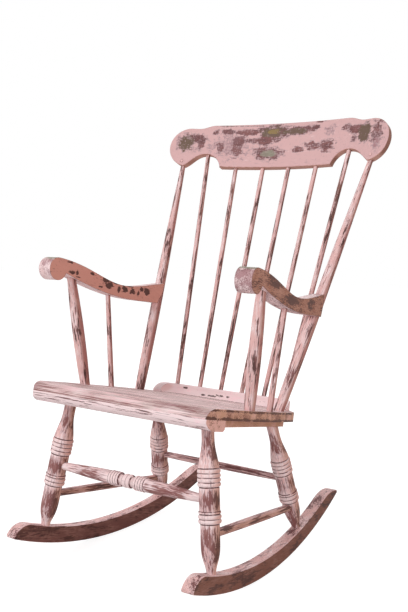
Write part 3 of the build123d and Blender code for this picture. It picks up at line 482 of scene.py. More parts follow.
    def _coat(self) -> Tree:
        """Colour, roughness and thickness of a brushed coat over what shows through it.

        Returns:
            The group, with a colour, a roughness and a height.
        """
        w, given, wanted = self._open(
            "brushed_coat",
            {"Place": self.ORIGIN, "Streak": self.STREAK, "Coat": Tone.PINK.linear,
             "Pale": Tone.PALE.linear, "Under": Tone.BURGUNDY.linear,
             "Deep": Tone.DARK_BURGUNDY.linear, "Dust": Tone.LILAC_GREY.linear, "Worn": 0.0,
             "Haze": 0.0, "Pale Share": 0.35, "Haze Share": 0.5, "Seed": 0.0},
            ("Color", "Roughness", "Height"))
        worn = given["Worn"]
        shift = w.shift(given["Seed"], (5.9, 2.3, 8.9))
        brush = w.clouds(given["Place"], given["Streak"], shift, roughness=0.65, trim=0.30)
        blotch = w.clouds(given["Place"], self.BLOTCH, shift, trim=0.30)
        both = w.plus(w.times(brush, self.BRUSH_SHARE),
                      w.times(blotch, 1.0 - self.BRUSH_SHARE))
        limit = w.minus(1.0, given["Pale Share"])
        brushed = w.ramp(both, w.minus(limit, self.PALE_SLOPE), w.plus(limit, self.PALE_SLOPE))
        top = w.mix(w.times(brushed, self.PALE_STRENGTH), given["Coat"], given["Pale"])
        top = w.mix(w.times(given["Haze"], given["Haze Share"]), top, given["Dust"])
        under = w.mix(w.ramp(both, *self.UNDER_BAND), given["Deep"], given["Under"])
        w.feed(wanted["Color"], w.mix(worn, top, under))
        w.feed(wanted["Roughness"], w.minus(self.ROUGHNESS, w.times(worn, self.WORN_SMOOTHER)))
        w.feed(wanted["Height"], w.plus(w.times(worn, self.WORN_HEIGHT),
                                        w.times(brush, self.BRUSH_HEIGHT)))
        return w.tree

    def _lines(self) -> Tree:
        """Thin dark lines where the grain has opened, long and nearly straight.

        Returns:
            The group, with a mask.
        """
        w, given, wanted = self._open(
            "open_grain_lines",
            {"Place": self.ORIGIN, "Cell": (0.2, 0.006, 0.006), "Seed": 0.0, "Width": 0.02,
             "Share": 0.5})
        shift = w.shift(given["Seed"], (7.7, 4.1, 9.3))
        waves = w.clouds(given["Place"], given["Cell"], shift, detail=1.0, roughness=0.5)
        line = w.ramp(w.math("ABSOLUTE", w.minus(waves, 0.5)), given["Width"], self.LINE_CORE)
        spells = w.clouds(given["Place"], self.LINE_SPELL, shift, detail=2.0, roughness=0.5)
        shown = w.highest(spells, given["Share"], self.LINE_SLOPE)
        w.feed(wanted["Mask"], w.times(line, shown))
        return w.tree


# ---------------------------------------------------------------- finishes
@dataclass(frozen=True)
class Patch:
    """A rubbed place on a face: where it is, how large, what shows in it and how bare it is.

    Lengths are in millimetres.  On the rim, it shows on the faces that look neither left nor right.
    """

    across: float
    up: float
    half_width: float
    half_height: float
    tone: Tone
    bare: float
    ragged: float
    on_rim: bool = False


@dataclass(frozen=True)
class Face:
    """A coat of its own on the faces that look one way, or painted shade on faces turned from the
    key lamp.

    It starts to show at one dot product of the two directions and is full at another.
    """

    looks: tuple[float, float, float]
    coat: Tone
    under: Tone
    deep: Tone
    pale: Tone
    share: float
    start: float = 0.70
    full: float = 0.88

    def opposite(self) -> "Face":
        """The same coat on the opposite faces."""
        return replace(self, looks=tuple(-part for part in self.looks))


@dataclass(frozen=True)
class Turning:
    """Grooves and wear along a turned piece, measured from its shoulder in millimetres.

    Rings hold the first groove's place, the pitch, the last groove's number counted from 0 and
    the half width.  Wear holds places with the added wear and paleness at each.
    """

    tenon: float
    rings: tuple[tuple[float, float, int, float], ...]
    wear: tuple[tuple[float, float, float], ...]


@dataclass(frozen=True)
class Paint:
    """A coat and the way it has worn.  Lengths are in millimetres."""

    name: str
    coat: Tone = Tone.PINK
    pale: Tone = Tone.PALE
    under: Tone = Tone.BURGUNDY
    deep: Tone = Tone.DARK_BURGUNDY
    dust: Tone = Tone.LILAC_GREY
    amount: float = 0.14
    spread: float = 0.25
    cross: float = 0.0
    softness: float = 0.09
    streak: tuple[float, float] = (20.0, 2.2)
    cloud: tuple[float, float] = (70.0, 24.0)
    pale_share: float = 0.4
    haze_share: float = 0.5
    edge_radius: float = 2.5
    edge_amount: float = 0.6
    # Reach and strength of the painted shade in grooves and corners.
    hollow_shade_reach: float = 5.0
    hollow_shade_amount: float = 0.7
    bump: float = 0.25
    line_cell: tuple[float, float] = (200.0, 6.0)
    line_share: float = 0.0
    line_facing: float = 0.6
    patch_side: tuple[float, float, float] | None = None
    patch_lift: float = 0.0
    rear_wear: float = 0.0
    faces: tuple[Face, ...] = ()


def rubbed(tone: Tone, ragged: float, spots: tuple[tuple[float, ...], ...]) -> tuple[Patch, ...]:
    """Rubbed places of one tone: across, up, half width, half height and bareness of each."""
    return tuple(Patch(*spot[:4], tone, spot[4], ragged) for spot in spots)


def grain_size(size: tuple[float, float]) -> tuple[float, float, float]:
    """A pattern's size along and across the grain in metres, from millimetres."""
    length, width = size
    return length * MM, width * MM, width * MM


class Bench:
    """Mixes the chair's materials."""

    # Wear that a bared edge adds, and how much of the undercoat the barest place shows.
    EDGE_WEAR = 0.75
    BAREST = 0.92
    # How much an opened grain line darkens, and how much of a patch's tone its depths take.
    LINE_DARKNESS = 0.8
    DEEP_SHARE = 0.7
    SPECULAR = 0.22
    BUMP_DISTANCE = 0.4 * MM
    # Dot products between which faces come to look the patches' way, away from it and neither
    # left nor right.
    FRONT_BAND = (0.2, 0.6)
    REAR_BAND = (0.0, -0.5)
    RIM_BAND = (0.6, 0.4)
    LINE_SLOPE = 0.1
    # A patch reaches through the piece, this many metres either way.
    PATCH_DEPTH = 10.0
    PATCH_BAND = (0.05, 0.5)
    # Breaks in the dark lines of grooves, along and across a turned piece in metres.
    BREAK = (0.004, 0.010, 0.010)
    BREAK_BAND = (0.34, 0.52)

    def __init__(self, effects: Effects) -> None:
        """Keep the node groups that every paint uses."""
        self.effects = effects

    def mix(self, paint: Paint, seed: float, lie: Matrix, patches: tuple[Patch, ...] = (),
            turning: Turning | None = None, length: float = 1.0) -> bpy.types.Material:
        """Make the material of one piece.

        Args:
            paint: the coat and its wear.
            seed: shifts the pattern, so that no two pieces wear alike.
            lie: transform from the piece's own directions, x along its grain, to the room.
            patches: rubbed places, across along x and up along z of those directions.
            turning: grooves and wear along a turned piece.
            length: the turned piece's length in metres.

        Returns:
            The material.
        """
        made = bpy.data.materials.new(paint.name)
        made.use_nodes = True
        w = Wires(made.node_tree)
        place = self._place(w, lie)
        streak = grain_size(paint.streak)
        tones = self._tones(w, paint)
        edge = w.group(self.effects.edges, Place=place, Radius=paint.edge_radius * MM,
                       Amount=paint.edge_amount, Seed=seed)
        extra = w.times(edge.outputs["Mask"], self.EDGE_WEAR)
        pale_share: object = paint.pale_share
        rings = None
        if turning is not None:
            wear, pale, rings = self._turned(w, place, turning, length)
            extra = w.plus(extra, wear)
            pale_share = w.plus(paint.pale_share, pale)
        front: object = 1.0
        if paint.patch_side is not None:
            turn = w.facing(paint.patch_side)
            front = w.ramp(turn, *self.FRONT_BAND)
            extra = w.plus(extra, w.times(w.ramp(turn, *self.REAR_BAND), paint.rear_wear))
        sideways = w.math("ABSOLUTE", w.facing((1, 0, 0)))
        rim = w.ramp(sideways, *self.RIM_BAND)
        for patch in patches:
            extra = self._lay_patch(w, place, patch, extra, tones,
                                    rim if patch.on_rim else front, paint.patch_lift)
        rub = w.group(
            self.effects.rubbing, Place=place, Seed=seed, Amount=paint.amount,
            Spread=paint.spread, Cross=paint.cross, Softness=paint.softness, Streak=streak,
            Cloud=grain_size(paint.cloud), Extra=extra,
        )
        # Painted shade: ambient occlusion darkens grooves and corners to the undercoat.
        hollow_shade = w.group(self.effects.shade_hollows, Reach=paint.hollow_shade_reach * MM,
                         Amount=paint.hollow_shade_amount)
        worn = w.larger(w.times(rub.outputs["Worn"], self.BAREST), hollow_shade.outputs["Mask"])
        brushed = w.group(
            self.effects.coat, Place=place, Streak=streak, Worn=worn, Haze=rub.outputs["Haze"],
            Pale_Share=pale_share, Haze_Share=paint.haze_share, Seed=seed, **tones,
        )
        colour = brushed.outputs["Color"]
        if paint.line_share > 0:
            opened = w.group(self.effects.lines, Place=place, Seed=seed, Share=paint.line_share,
                             Cell=grain_size(paint.line_cell))
            along = w.ramp(sideways, paint.line_facing + self.LINE_SLOPE,
                           paint.line_facing - self.LINE_SLOPE)
            dark = w.times(opened.outputs["Mask"], w.times(along, self.LINE_DARKNESS))
            colour = w.mix(dark, colour, paint.deep.linear)
        if rings is not None:
            colour = w.mix(rings, colour, Tone.DARK_BURGUNDY.linear)
        bump = w.fill(w.node("ShaderNodeBump"), Strength=paint.bump,
                      Distance=self.BUMP_DISTANCE, Height=brushed.outputs["Height"])
        w.fill(made.node_tree.nodes["Principled BSDF"], Base_Color=colour,
               Roughness=brushed.outputs["Roughness"], Specular_IOR_Level=self.SPECULAR,
               Normal=bump.outputs["Normal"])
        return made

    @staticmethod
    def _place(w: Wires, lie: Matrix) -> Socket:
        """Coordinates along and across the piece.

        Args:
            w: the material's wires.
            lie: transform from the piece's own directions to the room.

        Returns:
            The coordinates' socket.
        """
        source = w.node("ShaderNodeTexCoord").outputs["Object"]
        turn = w.node("ShaderNodeMapping", vector_type="TEXTURE")
        return w.fill(turn, Vector=source, Location=lie.translation,
                      Rotation=lie.to_euler("XYZ")).outputs["Vector"]

    @staticmethod
    def _tones(w: Wires, paint: Paint) -> dict[str, object]:
        """The coat's colours, changed on the faces that have their own coat or painted shade.

        Args:
            w: the material's wires.
            paint: the coat, with its faces.

        Returns:
            Colours or sockets by the name of the coat's input.
        """
        tones: dict[str, object] = {
            "Coat": paint.coat.linear, "Pale": paint.pale.linear, "Under": paint.under.linear,
            "Deep": paint.deep.linear, "Dust": paint.dust.linear,
        }
        for face in paint.faces:
            share = w.times(w.ramp(w.facing(face.looks), face.start, face.full), face.share)
            own = {"Coat": face.coat, "Pale": face.pale, "Under": face.under,
                   "Deep": face.deep, "Dust": face.coat}
            for part, tone in own.items():
                tones[part] = w.mix(share, tones[part], tone.linear)
        return tones

    def _turned(self, w: Wires, place: Socket, turning: Turning,
                length: float) -> tuple[Socket, ...]:
        """Masks that follow a turned piece along its axis.

        Args:
            w: the material's wires.
            place: coordinates with x along the piece from its end.
            turning: its grooves and its wear.
            length: the piece's length in metres.

        Returns:
            Added wear, added paleness and the dark lines in the grooves.
        """
        along = w.fill(w.node("ShaderNodeSeparateXYZ"), Vector=place).outputs[0]
        curve = w.node("ShaderNodeValToRGB")
        stops = curve.color_ramp.elements
        for index, (distance, wear, pale) in enumerate(turning.wear):
            at = min(max((distance + turning.tenon) * MM / length, 0.0), 1.0)
            stop = stops[index] if index < 2 else stops.new(at)
            stop.position = at
            stop.color = (wear, pale, 0.0, 1.0)
        w.feed(curve.inputs[0], w.math("DIVIDE", along, length))
        shares = w.fill(w.node("ShaderNodeSeparateColor"), Color=curve.outputs[0])
        lines: object = 0.0
        for first, pitch, last, half in turning.rings:
            cut = w.group(self.effects.rings, Along=along, First=(first + turning.tenon) * MM,
                          Pitch=pitch * MM, Count=float(last), Half_Width=half * MM)
            lines = w.larger(lines, cut.outputs["Mask"])
        kept = w.ramp(w.clouds(place, self.BREAK, detail=2.0), *self.BREAK_BAND)
        return shares.outputs[0], shares.outputs[1], w.times(lines, kept)

    def _lay_patch(self, w: Wires, place: Socket, patch: Patch,
                   extra: Socket, tones: dict[str, object],
                   front: object, lift: float) -> Socket:
        """Add one rubbed place to the wear, and its tone to what shows in it.

        Args:
            w: the material's wires.
            place: coordinates on the piece.
            patch: the place, its size and its tone.
            extra: the wear without it.
            tones: the coat's colours, changed here.
            front: 1 on the faces that carry the patches and 0 on the others.
            lift: added to the patch's wear where the coat round it is sound.

        Returns:
            The new wear's socket.
        """
        laid = w.group(
            self.effects.patch, Place=place, Ragged=patch.ragged,
            Centre=(patch.across * MM, 0.0, patch.up * MM),
            Reach=(patch.half_width * MM, self.PATCH_DEPTH, patch.half_height * MM),
        ).outputs["Mask"]
        laid = w.times(laid, front)
        share = w.ramp(laid, *self.PATCH_BAND)
        deep = Tone.DARK_BURGUNDY if patch.tone is Tone.BURGUNDY else patch.tone
        tones["Under"] = w.mix(share, tones["Under"], patch.tone.linear)
        tones["Deep"] = w.mix(w.times(share, self.DEEP_SHARE), tones["Deep"], deep.linear)
        return w.larger(extra, w.times(laid, patch.bare + lift))


# ---------------------------------------------------------------- shared shop work
def longest_way(offsets: np.ndarray) -> Vector:
    """The direction in which points lie furthest apart, from their rows less their middle."""
    _, _, axes = np.linalg.svd(offsets, full_matrices=False)
    return Vector(axes[0])


def add_object(name: str, data: bpy.types.ID) -> bpy.types.Object:
    """New object in the scene.

    Args:
        name: its name.
        data: its mesh, light or camera.

    Returns:
        The object.
    """
    made = bpy.data.objects.new(name, data)
    bpy.context.scene.collection.objects.link(made)
    return made


def mesh_of(name: str, shape: bmesh.types.BMesh) -> bpy.types.Mesh:
    """Mesh with a finished shape.

    Args:
        name: its name.
        shape: the shape, freed here.

    Returns:
        The mesh.
    """
    mesh = bpy.data.meshes.new(name)
    shape.to_mesh(mesh)
    shape.free()
    return mesh


def corners_in(parts: list) -> list[bmesh.types.BMVert]:
    """The corners among the parts that a bmesh operator gives back."""
    return [part for part in parts if isinstance(part, bmesh.types.BMVert)]


@dataclass
class Shop:
    """What every sub-assembly is dressed with."""

    frame: dict
    bench: Bench
    body: str = "root"
    count: int = 0
    # The pattern's step from one piece to the next; every so many corners that an axis is
    # found from; and the rise of an axis above which it stands, and is nearly upright.
    seed_step: float = 1.7
    stride: int = 7
    standing: float = 0.3
    upright: float = 0.8

    def points_of(self, node: str) -> np.ndarray:
        """Corners of a CAD node's mesh.

        Args:
            node: the CAD node's name.

        Returns:
            The corners, one row each.
        """
        mesh = self.frame["nodes"][node].data
        points = np.empty(len(mesh.vertices) * 3)
        mesh.vertices.foreach_get("co", points)
        return points.reshape(-1, 3)

    def turned_lie(self, node: str) -> tuple[Matrix, float]:
        """Directions of a turned piece, with x along its axis from its upper or left end.

        Args:
            node: the CAD node's name.

        Returns:
            Transform from the piece's directions to the room, and the piece's length in metres.
        """
        points = self.points_of(node)
        middle = points.mean(axis=0)
        along = longest_way(points[::self.stride] - middle)
        if (along.z if abs(along.z) > self.standing else -along.x) > 0:
            along.negate()
        reach = points @ np.array(along)
        centre = Vector(middle)
        start = centre + along * (float(reach.min()) - centre.dot(along))
        beside = (0, 0, 1) if abs(along.z) < self.upright else (0, -1, 0)
        depth = Vector(beside).cross(along).normalized()
        turn = Matrix((along, depth, along.cross(depth))).transposed()
        return Matrix.Translation(start) @ turn.to_4x4(), float(reach.max() - reach.min())

    def dress(self, node: str, paint: Paint, lie: Matrix | None = None,
              patches: tuple[Patch, ...] = (), turning: Turning | None = None) -> None:
        """Give a CAD node its paint.

        Args:
            node: the CAD node's name.
            paint: the coat and its wear.
            lie: the piece's directions, or None to read them from its shape.
            patches: rubbed places on it.
            turning: grooves and wear along it, if it is turned.
        """
        self.count += 1
        place, length = (lie, 1.0) if lie is not None else self.turned_lie(node)
        piece = self.frame["nodes"][node]
        made = self.bench.mix(paint, self.count * self.seed_step, place, patches, turning,
                              length)
        made.name = f"{paint.name}.{node}"
        if piece.material_slots:
            for held in piece.material_slots:
                held.material = made
        else:
            piece.data.materials.append(made)
        log.info("%s dressed in %s", node, paint.name)

    def place(self, name: str, shape: bmesh.types.BMesh,
              materials: tuple[bpy.types.Material, ...], stands_for: str, slot: str) -> None:
        """Turn a finished shape into a piece of the chair.

        Args:
            name: the piece's name.
            shape: its mesh, in the room's frame; it is freed here.
            materials: its finishes, in the order of its faces' numbers.
            stands_for: the CAD node that it replaces.
            slot: the record's material slot; not used.
        """
        bmesh.ops.remove_doubles(shape, verts=shape.verts, dist=WELD)
        bmesh.ops.recalc_face_normals(shape, faces=shape.faces)
        mesh = mesh_of(name, shape)
        piece = add_object(name, mesh)
        for material in materials:
            mesh.materials.append(material)
        mesh.shade_smooth()
        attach(piece, self.body)
        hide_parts(stands_for)
        log.info("%s made in place of %s", name, stands_for)


# ---------------------------------------------------------------- sub-assemblies
# Painted shade: tan and rust brown on the legs' and stretchers' faces that look to +x, away from
# the key lamp.
SHADE_SIDE = Face((0.95, 0.3, 0.0), Tone.TAN, Tone.RUST_BROWN, Tone.UMBER, Tone.WARM_PINK,
                  0.9, 0.30, 0.95)
# Painted shade: rosewood and chestnut on the uprights' faces that look to +x, away from the key
# lamp.
UPRIGHT_SHADE_SIDE = Face((0.97, 0.2, 0.0), Tone.ROSEWOOD, Tone.CHESTNUT, Tone.UMBER, Tone.TAN,
                 0.90, 0.42, 0.90)
# The paint of the back posts.  The other uprights have their own changes to it.
UPRIGHT = Paint("back_post_paint", deep=Tone.UMBER, amount=0.28, spread=0.50, softness=0.08,
                streak=(34, 2.6), cloud=(80, 12), haze_share=0.25, edge_amount=0.0,
                hollow_shade_amount=0.2, line_cell=(150, 4), line_share=0.6, faces=(UPRIGHT_SHADE_SIDE,))


@dataclass
class Back:
    """Crest rail, six spindles and two posts."""

    shop: Shop
    spindles: int = 6

    def crest_patches(self) -> tuple[Patch, ...]:
        """Rubbed places on the crest's front, across and up its face in millimetres."""
        olive, ochre, red, mauve = Tone.OLIVE, Tone.OCHRE, Tone.BURGUNDY, Tone.MAUVE
        spots = (
            (-150, 66, 66, 36, mauve, 0.26, 0.8),
            (-270, 52, 36, 12, mauve, 0.30, 0.7),
            (-313, 70, 6, 24, mauve, 0.34, 0.5),
            (-262, 86, 34, 14, red, 0.62, 0.5),
            (-240, 70, 11, 18, red, 0.62, 0.5),
            (-286, 72, 23, 27, red, 0.56, 0.4),
            (-289, 67, 20, 22, olive, 0.74, 0.4),
            (-204, 104, 10, 8, red, 0.66, 0.5),
            (-165, 108, 20, 8, red, 0.66, 0.5),
            (-98, 106, 42, 10, red, 0.66, 0.4),
            (-127, 80, 20, 17, red, 0.58, 0.5),
            (-85, 80, 26, 8, red, 0.46, 0.6),
            (-180, 61, 12, 15, red, 0.58, 0.5),
            (-127, 50, 16, 22, red, 0.48, 0.6),
            (-45, 80, 24, 18, red, 0.68, 0.4),
            (-10, 84, 12, 10, red, 0.50, 0.5),
            (-28, 42, 44, 20, red, 0.56, 0.5),
            (-25, 41, 20, 9, Tone.GREY_GREEN, 0.66, 0.3),
            (-22, 106, 50, 20, red, 0.62, 0.4),
            (-110, 125, 84, 1.6, olive, 0.42, 0.8),
            (118, 126, 12, 2.2, red, 0.70, 0.8),
            (-22, 106, 36, 13, olive, 0.70, 0.3),
            (-24, 107, 16, 6, ochre, 0.62, 0.6),
            (58, 106, 50, 12, red, 0.60, 0.4),
            (44, 104, 30, 8, olive, 0.66, 0.3),
            (107, 111, 11, 7, red, 0.70, 0.4),
            (153, 98, 16, 14, mauve, 0.34, 0.7),
            (64, 51, 18, 9, red, 0.62, 0.5),
            (106, 58, 24, 12, red, 0.54, 0.6),
            (150, 54, 23, 16, red, 0.58, 0.6),
            (206, 102, 14, 8, red, 0.52, 0.5),
            (236, 92, 26, 12, red, 0.68, 0.4),
            (232, 65, 10, 10, red, 0.48, 0.5),
            (298, 68, 18, 36, red, 0.52, 0.6),
            (303, 38, 12, 18, mauve, 0.32, 0.6),
            (262, 78, 17, 26, olive, 0.78, 0.25),
        )
        return tuple(Patch(*spot) for spot in spots)

    def dress(self) -> None:
        """Paint the crest rail, the spindles and the posts."""
        tan, umber, across = Tone.TAN, Tone.UMBER, (1, 0, 0)
        # Painted shade: the first three darken the crest's faces that look to +x and down, away
        # from the key lamp; the last gives its upward faces a tan coat.
        faces = (
            Face(across, tan, Tone.BROWN, Tone.DARK_BROWN, tan, 0.75),
            Face((0, -0.3, -0.95), tan, Tone.RUST_BROWN, umber, Tone.TERRACOTTA, 0.80, 0.40, 0.72),
            Face(across, Tone.RUST_BROWN, Tone.OLIVE, umber, Tone.BROWN, 0.75, 0.55, 0.80),
            Face((0, 0.2, 0.98), tan, Tone.OLIVE, Tone.DARK_BROWN, Tone.BROWN, 0.75, 0.45, 0.80),
        )
        board = Paint("crest_paint", coat=Tone.DUSTY_PINK, dust=Tone.SLATE_LILAC, amount=-0.16,
                      spread=0.10, cross=0.96, streak=(20, 2.1), cloud=(70, 26),
                      pale_share=0.12, haze_share=0.85, softness=0.14, edge_amount=0.75,
                      patch_side=(0, -1, 0.2), patch_lift=0.15, rear_wear=0.18, faces=faces)
        self.shop.dress("crest_rail", board, CREST, self.crest_patches())
        slim = replace(UPRIGHT, name="spindle_paint", under=Tone.RUST_BROWN, amount=0.36,
                       spread=0.56, softness=0.07, streak=(44, 2.6), cloud=(70, 9),
                       pale_share=0.35, haze_share=0.30, line_cell=(150, 3), line_share=0.5)
        for number in range(1, self.spindles + 1):
            self.shop.dress(f"back_spindle_{number}", slim)
        for side in ("left", "right"):
            self.shop.dress(f"{side}_back_post", UPRIGHT)


@dataclass
class Arms:
    """Two scrolled arms, each on a stout post and a thin spindle."""

    shop: Shop

    def dress(self) -> None:
        """Paint the arms and what they stand on."""
        brown = Face((1, 0, 0), Tone.DRIFTWOOD, Tone.DARK_BROWN, Tone.UMBER, Tone.TAN, 0.97)
        inner = Face((1, 0, 0), Tone.TERRACOTTA, Tone.UMBER, Tone.UMBER, Tone.TERRACOTTA, 0.97)
        post = replace(UPRIGHT, name="arm_post_paint", amount=0.26, spread=0.48,
                       streak=(30, 2.8), cloud=(70, 13))
        for side in ("left", "right"):
            right = side == "right"
            facing = (brown, inner.opposite()) if right else (inner, brown.opposite())
            board = Paint("arm_paint", amount=0.30 if right else 0.02, spread=0.26,
                          streak=(14, 1.6), cloud=(40, 14), cross=0.60, pale_share=0.6,
                          edge_radius=2.4, edge_amount=1.25, line_cell=(60, 4),
                          line_share=0.8 if right else 0.3, line_facing=1.2,
                          patch_side=(1, 0, 0), faces=facing)
            chips = self.right_chips() if right else self.left_chips()
            self.shop.dress(f"{side}_arm", board, SEAT_SIDE, chips)
            for upright in ("post", "spindle"):
                self.shop.dress(f"{side}_arm_{upright}", post)

    def left_chips(self) -> tuple[Patch, ...]:
        """Places on the left arm's inner side where the coat has flaked, in millimetres.

        Returns:
            The places and the scroll's wear.
        """
        spots = ((284, 287, 9, 3), (272, 264, 9, 4), (256, 266, 4, 6), (252, 256, 9, 2),
                 (155, 264, 16, 6), (140, 253, 15, 8), (82, 252, 10, 9), (52, 252, 10, 8),
                 (-6, 259, 12, 9), (18, 260, 6, 4), (172, 245, 8, 2), (118, 262, 10, 3),
                 (104, 250, 5, 8), (30, 248, 5, 7), (206, 272, 7, 3), (68, 262, 20, 2))
        chips = tuple(Patch(*spot, Tone.UMBER, 0.84, 0.60) for spot in spots)
        return chips + self.scroll_wear()

    def right_chips(self) -> tuple[Patch, ...]:
        """Rubbed places on the right arm: its scroll, its side and its back end."""
        spots = ((225, 280, 30, 14, 0.42), (120, 252, 34, 10, 0.38), (10, 254, 24, 12, 0.45))
        return rubbed(Tone.DARK_BROWN, 0.5, spots) + self.scroll_wear()

    def scroll_wear(self) -> tuple[Patch, ...]:
        """Where hands have rubbed the front and the top of a scroll."""
        spots = ((342, 280, 9, 13, Tone.PLUM, 0.46, 0.6),
                 (334, 262, 12, 20, Tone.MAUVE, 0.28, 0.8),
                 (322, 292, 20, 6, Tone.GREY_GREEN, 0.60, 0.5))
        return tuple(Patch(*spot, on_rim=True) for spot in spots)


@dataclass
class Seat:
    """Plank, rolled front, cleats and the rail round the back."""

    shop: Shop

    def dress(self) -> None:
        """Paint the seat's boards."""
        end = Face((1, 0, 0), Tone.SAWN_TAN, Tone.BROWN, Tone.RUST_BROWN, Tone.WARM_PINK,
                   0.95, 0.6, 0.8)
        ends = (end, end.opposite())
        plank = Paint("seat_paint", coat=Tone.BRIGHT_PINK, under=Tone.MAUVE,
                      deep=Tone.BURGUNDY, dust=Tone.GREY_GREEN, amount=0.37, spread=0.40,
                      streak=(110, 1.7), cloud=(240, 26), pale_share=0.45, haze_share=0.42,
                      line_cell=(220, 7), line_share=0.6, patch_side=(1, 0, 0), faces=ends)
        roll = Paint("seat_roll_paint", coat=Tone.SUNLIT_PINK, dust=Tone.BRIGHT_PINK,
                     amount=0.19, spread=0.42, softness=0.05, streak=(56, 2.2),
                     cloud=(120, 10), pale_share=0.80, haze_share=0.15, edge_amount=0.3,
                     line_share=0.7, faces=ends)
        # The rail's coat is the painted-light pink, and its faces that look to +x take painted
        # shade in warm pink and brown.
        rail = Paint("seat_rail_paint", coat=Tone.SUNLIT_PINK, under=Tone.RUST_BROWN,
                     deep=Tone.UMBER, amount=0.0, spread=0.16, streak=(8, 2.4),
                     cloud=(34, 12), pale_share=0.65, haze_share=0.05, edge_amount=1.0,
                     hollow_shade_reach=3.0, hollow_shade_amount=0.25,
                     faces=(Face((1, 0, 0), Tone.WARM_PINK, Tone.BROWN, Tone.DARK_BROWN,
                                 Tone.PINK, 0.6),))
        cleat = Paint("cleat_paint", coat=Tone.TAN, pale=Tone.WARM_PINK,
                      under=Tone.RUST_BROWN, deep=Tone.UMBER, amount=0.12, haze_share=0.2,
                      faces=ends)
        cracks = ((0, -3, 400, 2.2, 0.50), (0, -20, 400, 3.0, 0.62))
        chips = ((-76, 6, 7, 2.5, 0.8), (-48, 6, 12, 2.5, 0.85), (-22, 10, 12, 3, 0.8),
                 (0, 10, 6, 2.5, 0.8), (-134, 18, 6, 2.5, 0.8))
        self.shop.dress("seat_plank", plank, SEAT, rubbed(Tone.UMBER, 0.9, cracks))
        self.shop.dress("seat_front_roll", roll, SEAT)
        self.shop.dress("seat_back_rail", rail, SEAT, rubbed(Tone.UMBER, 0.6, chips))
        for side in ("left", "right"):
            self.shop.dress(f"{side}_seat_cleat", cleat, SEAT)


@dataclass
class Undercarriage:
    """Turned legs and stretchers on two sawn rockers."""

    shop: Shop
    leg_tenon: float = 28.0
    # Half the beads between the front stretcher's swellings, the plain turning beside them and
    # the ringed stretch of a swelling, in millimetres.
    beads_half: float = 11.0
    neck: float = 10.0
    ringed: float = 28.0

    def leg_turning(self) -> Turning:
        """Grooves and wear down a leg from the seat."""
        return Turning(
            self.leg_tenon,
            ((89.1, 9.65, 4, 1.1), (181.9, 10.3, 2, 1.1), (176.4, 5.0, 0, 0.7)),
            ((0, 0.20, 0.0), (36, 0.50, 0.0), (62, 0.45, 0.0), (84, 0.12, 0.1),
             (92, 0.0, 0.3), (126, 0.0, 0.3), (134, 0.35, 0.1), (152, 0.62, 0.0),
             (170, 0.35, 0.1), (183, 0.0, 0.3), (202, 0.0, 0.3), (214, 0.38, 0.0),
             (245, 0.72, 0.0), (272, 0.56, 0.1), (300, 0.12, 0.25)),
        )

    def bar_turning(self, length: float) -> Turning:
        """Grooves and wear along the front stretcher.

        Args:
            length: its whole length in millimetres.

        Returns:
            The grooves and the wear.
        """
        middle = length / 2
        beads = middle - self.beads_half
        rings = beads - self.neck - self.ringed
        return Turning(
            0.0,
            ((rings, 7.0, 4, 0.8), (length - rings - self.ringed, 7.0, 4, 0.8),
             (beads, self.beads_half, 2, 0.8)),
            ((14, 0.05, 0.2), (50, 0.30, 0.1), (110, 0.50, 0.0), (rings - 4, 0.20, 0.1),
             (rings + 2, 0.0, 0.3), (length - rings - 2, 0.0, 0.3),
             (length - rings + 8, 0.35, 0.1), (length - 110, 0.66, 0.0),
             (length - 60, 0.5, 0.0), (length - 24, 0.1, 0.2)),
        )

    def dress(self) -> None:
        """Paint the legs, the stretchers and the rockers."""
        bar = Paint("stretcher_paint", amount=0.42, spread=0.42, streak=(50, 2.6),
                    cloud=(90, 12), pale_share=0.35, edge_amount=0.0, hollow_shade_amount=0.5,
                    faces=(SHADE_SIDE,))
        ringed = replace(bar, under=Tone.DUSTY_RED, deep=Tone.BURGUNDY)
        leg = replace(ringed, name="leg_paint", amount=-0.02, spread=0.38, softness=0.13,
                      streak=(26, 2.8), cloud=(40, 18), cross=0.60, pale_share=0.38,
                      haze_share=0.75, edge_radius=2.0)
        front_bar = replace(ringed, name="front_stretcher_paint", amount=0.08, spread=0.40,
                            softness=0.14, streak=(34, 2.8), cloud=(70, 13), pale_share=0.5,
                            haze_share=0.6, faces=())
        rocker = Paint("rocker_paint", amount=0.28, spread=0.50, softness=0.14, cross=0.70,
                       streak=(26, 2.4), cloud=(80, 20), pale_share=0.36, haze_share=0.2,
                       edge_radius=1.2, edge_amount=0.1, line_cell=(46, 3.2),
                       line_share=0.9)
        for side, wood in (("left", Tone.CHESTNUT), ("right", Tone.RUST_BROWN)):
            for end in ("front", "rear"):
                self.shop.dress(f"{side}_{end}_leg", leg, turning=self.leg_turning())
            self.shop.dress(f"{side}_side_stretcher", bar)
            sawn = Face((1, 0, 0), wood, Tone.DARK_BROWN, Tone.UMBER, Tone.PEAT, 0.97)
            self.shop.dress(f"{side}_rocker", replace(rocker, faces=(sawn, sawn.opposite())),
                            SEAT_SIDE)
        _, length = self.shop.turned_lie("front_stretcher")
        self.shop.dress("front_stretcher", front_bar, turning=self.bar_turning(length / MM))
        self.shop.dress("rear_stretcher", bar)


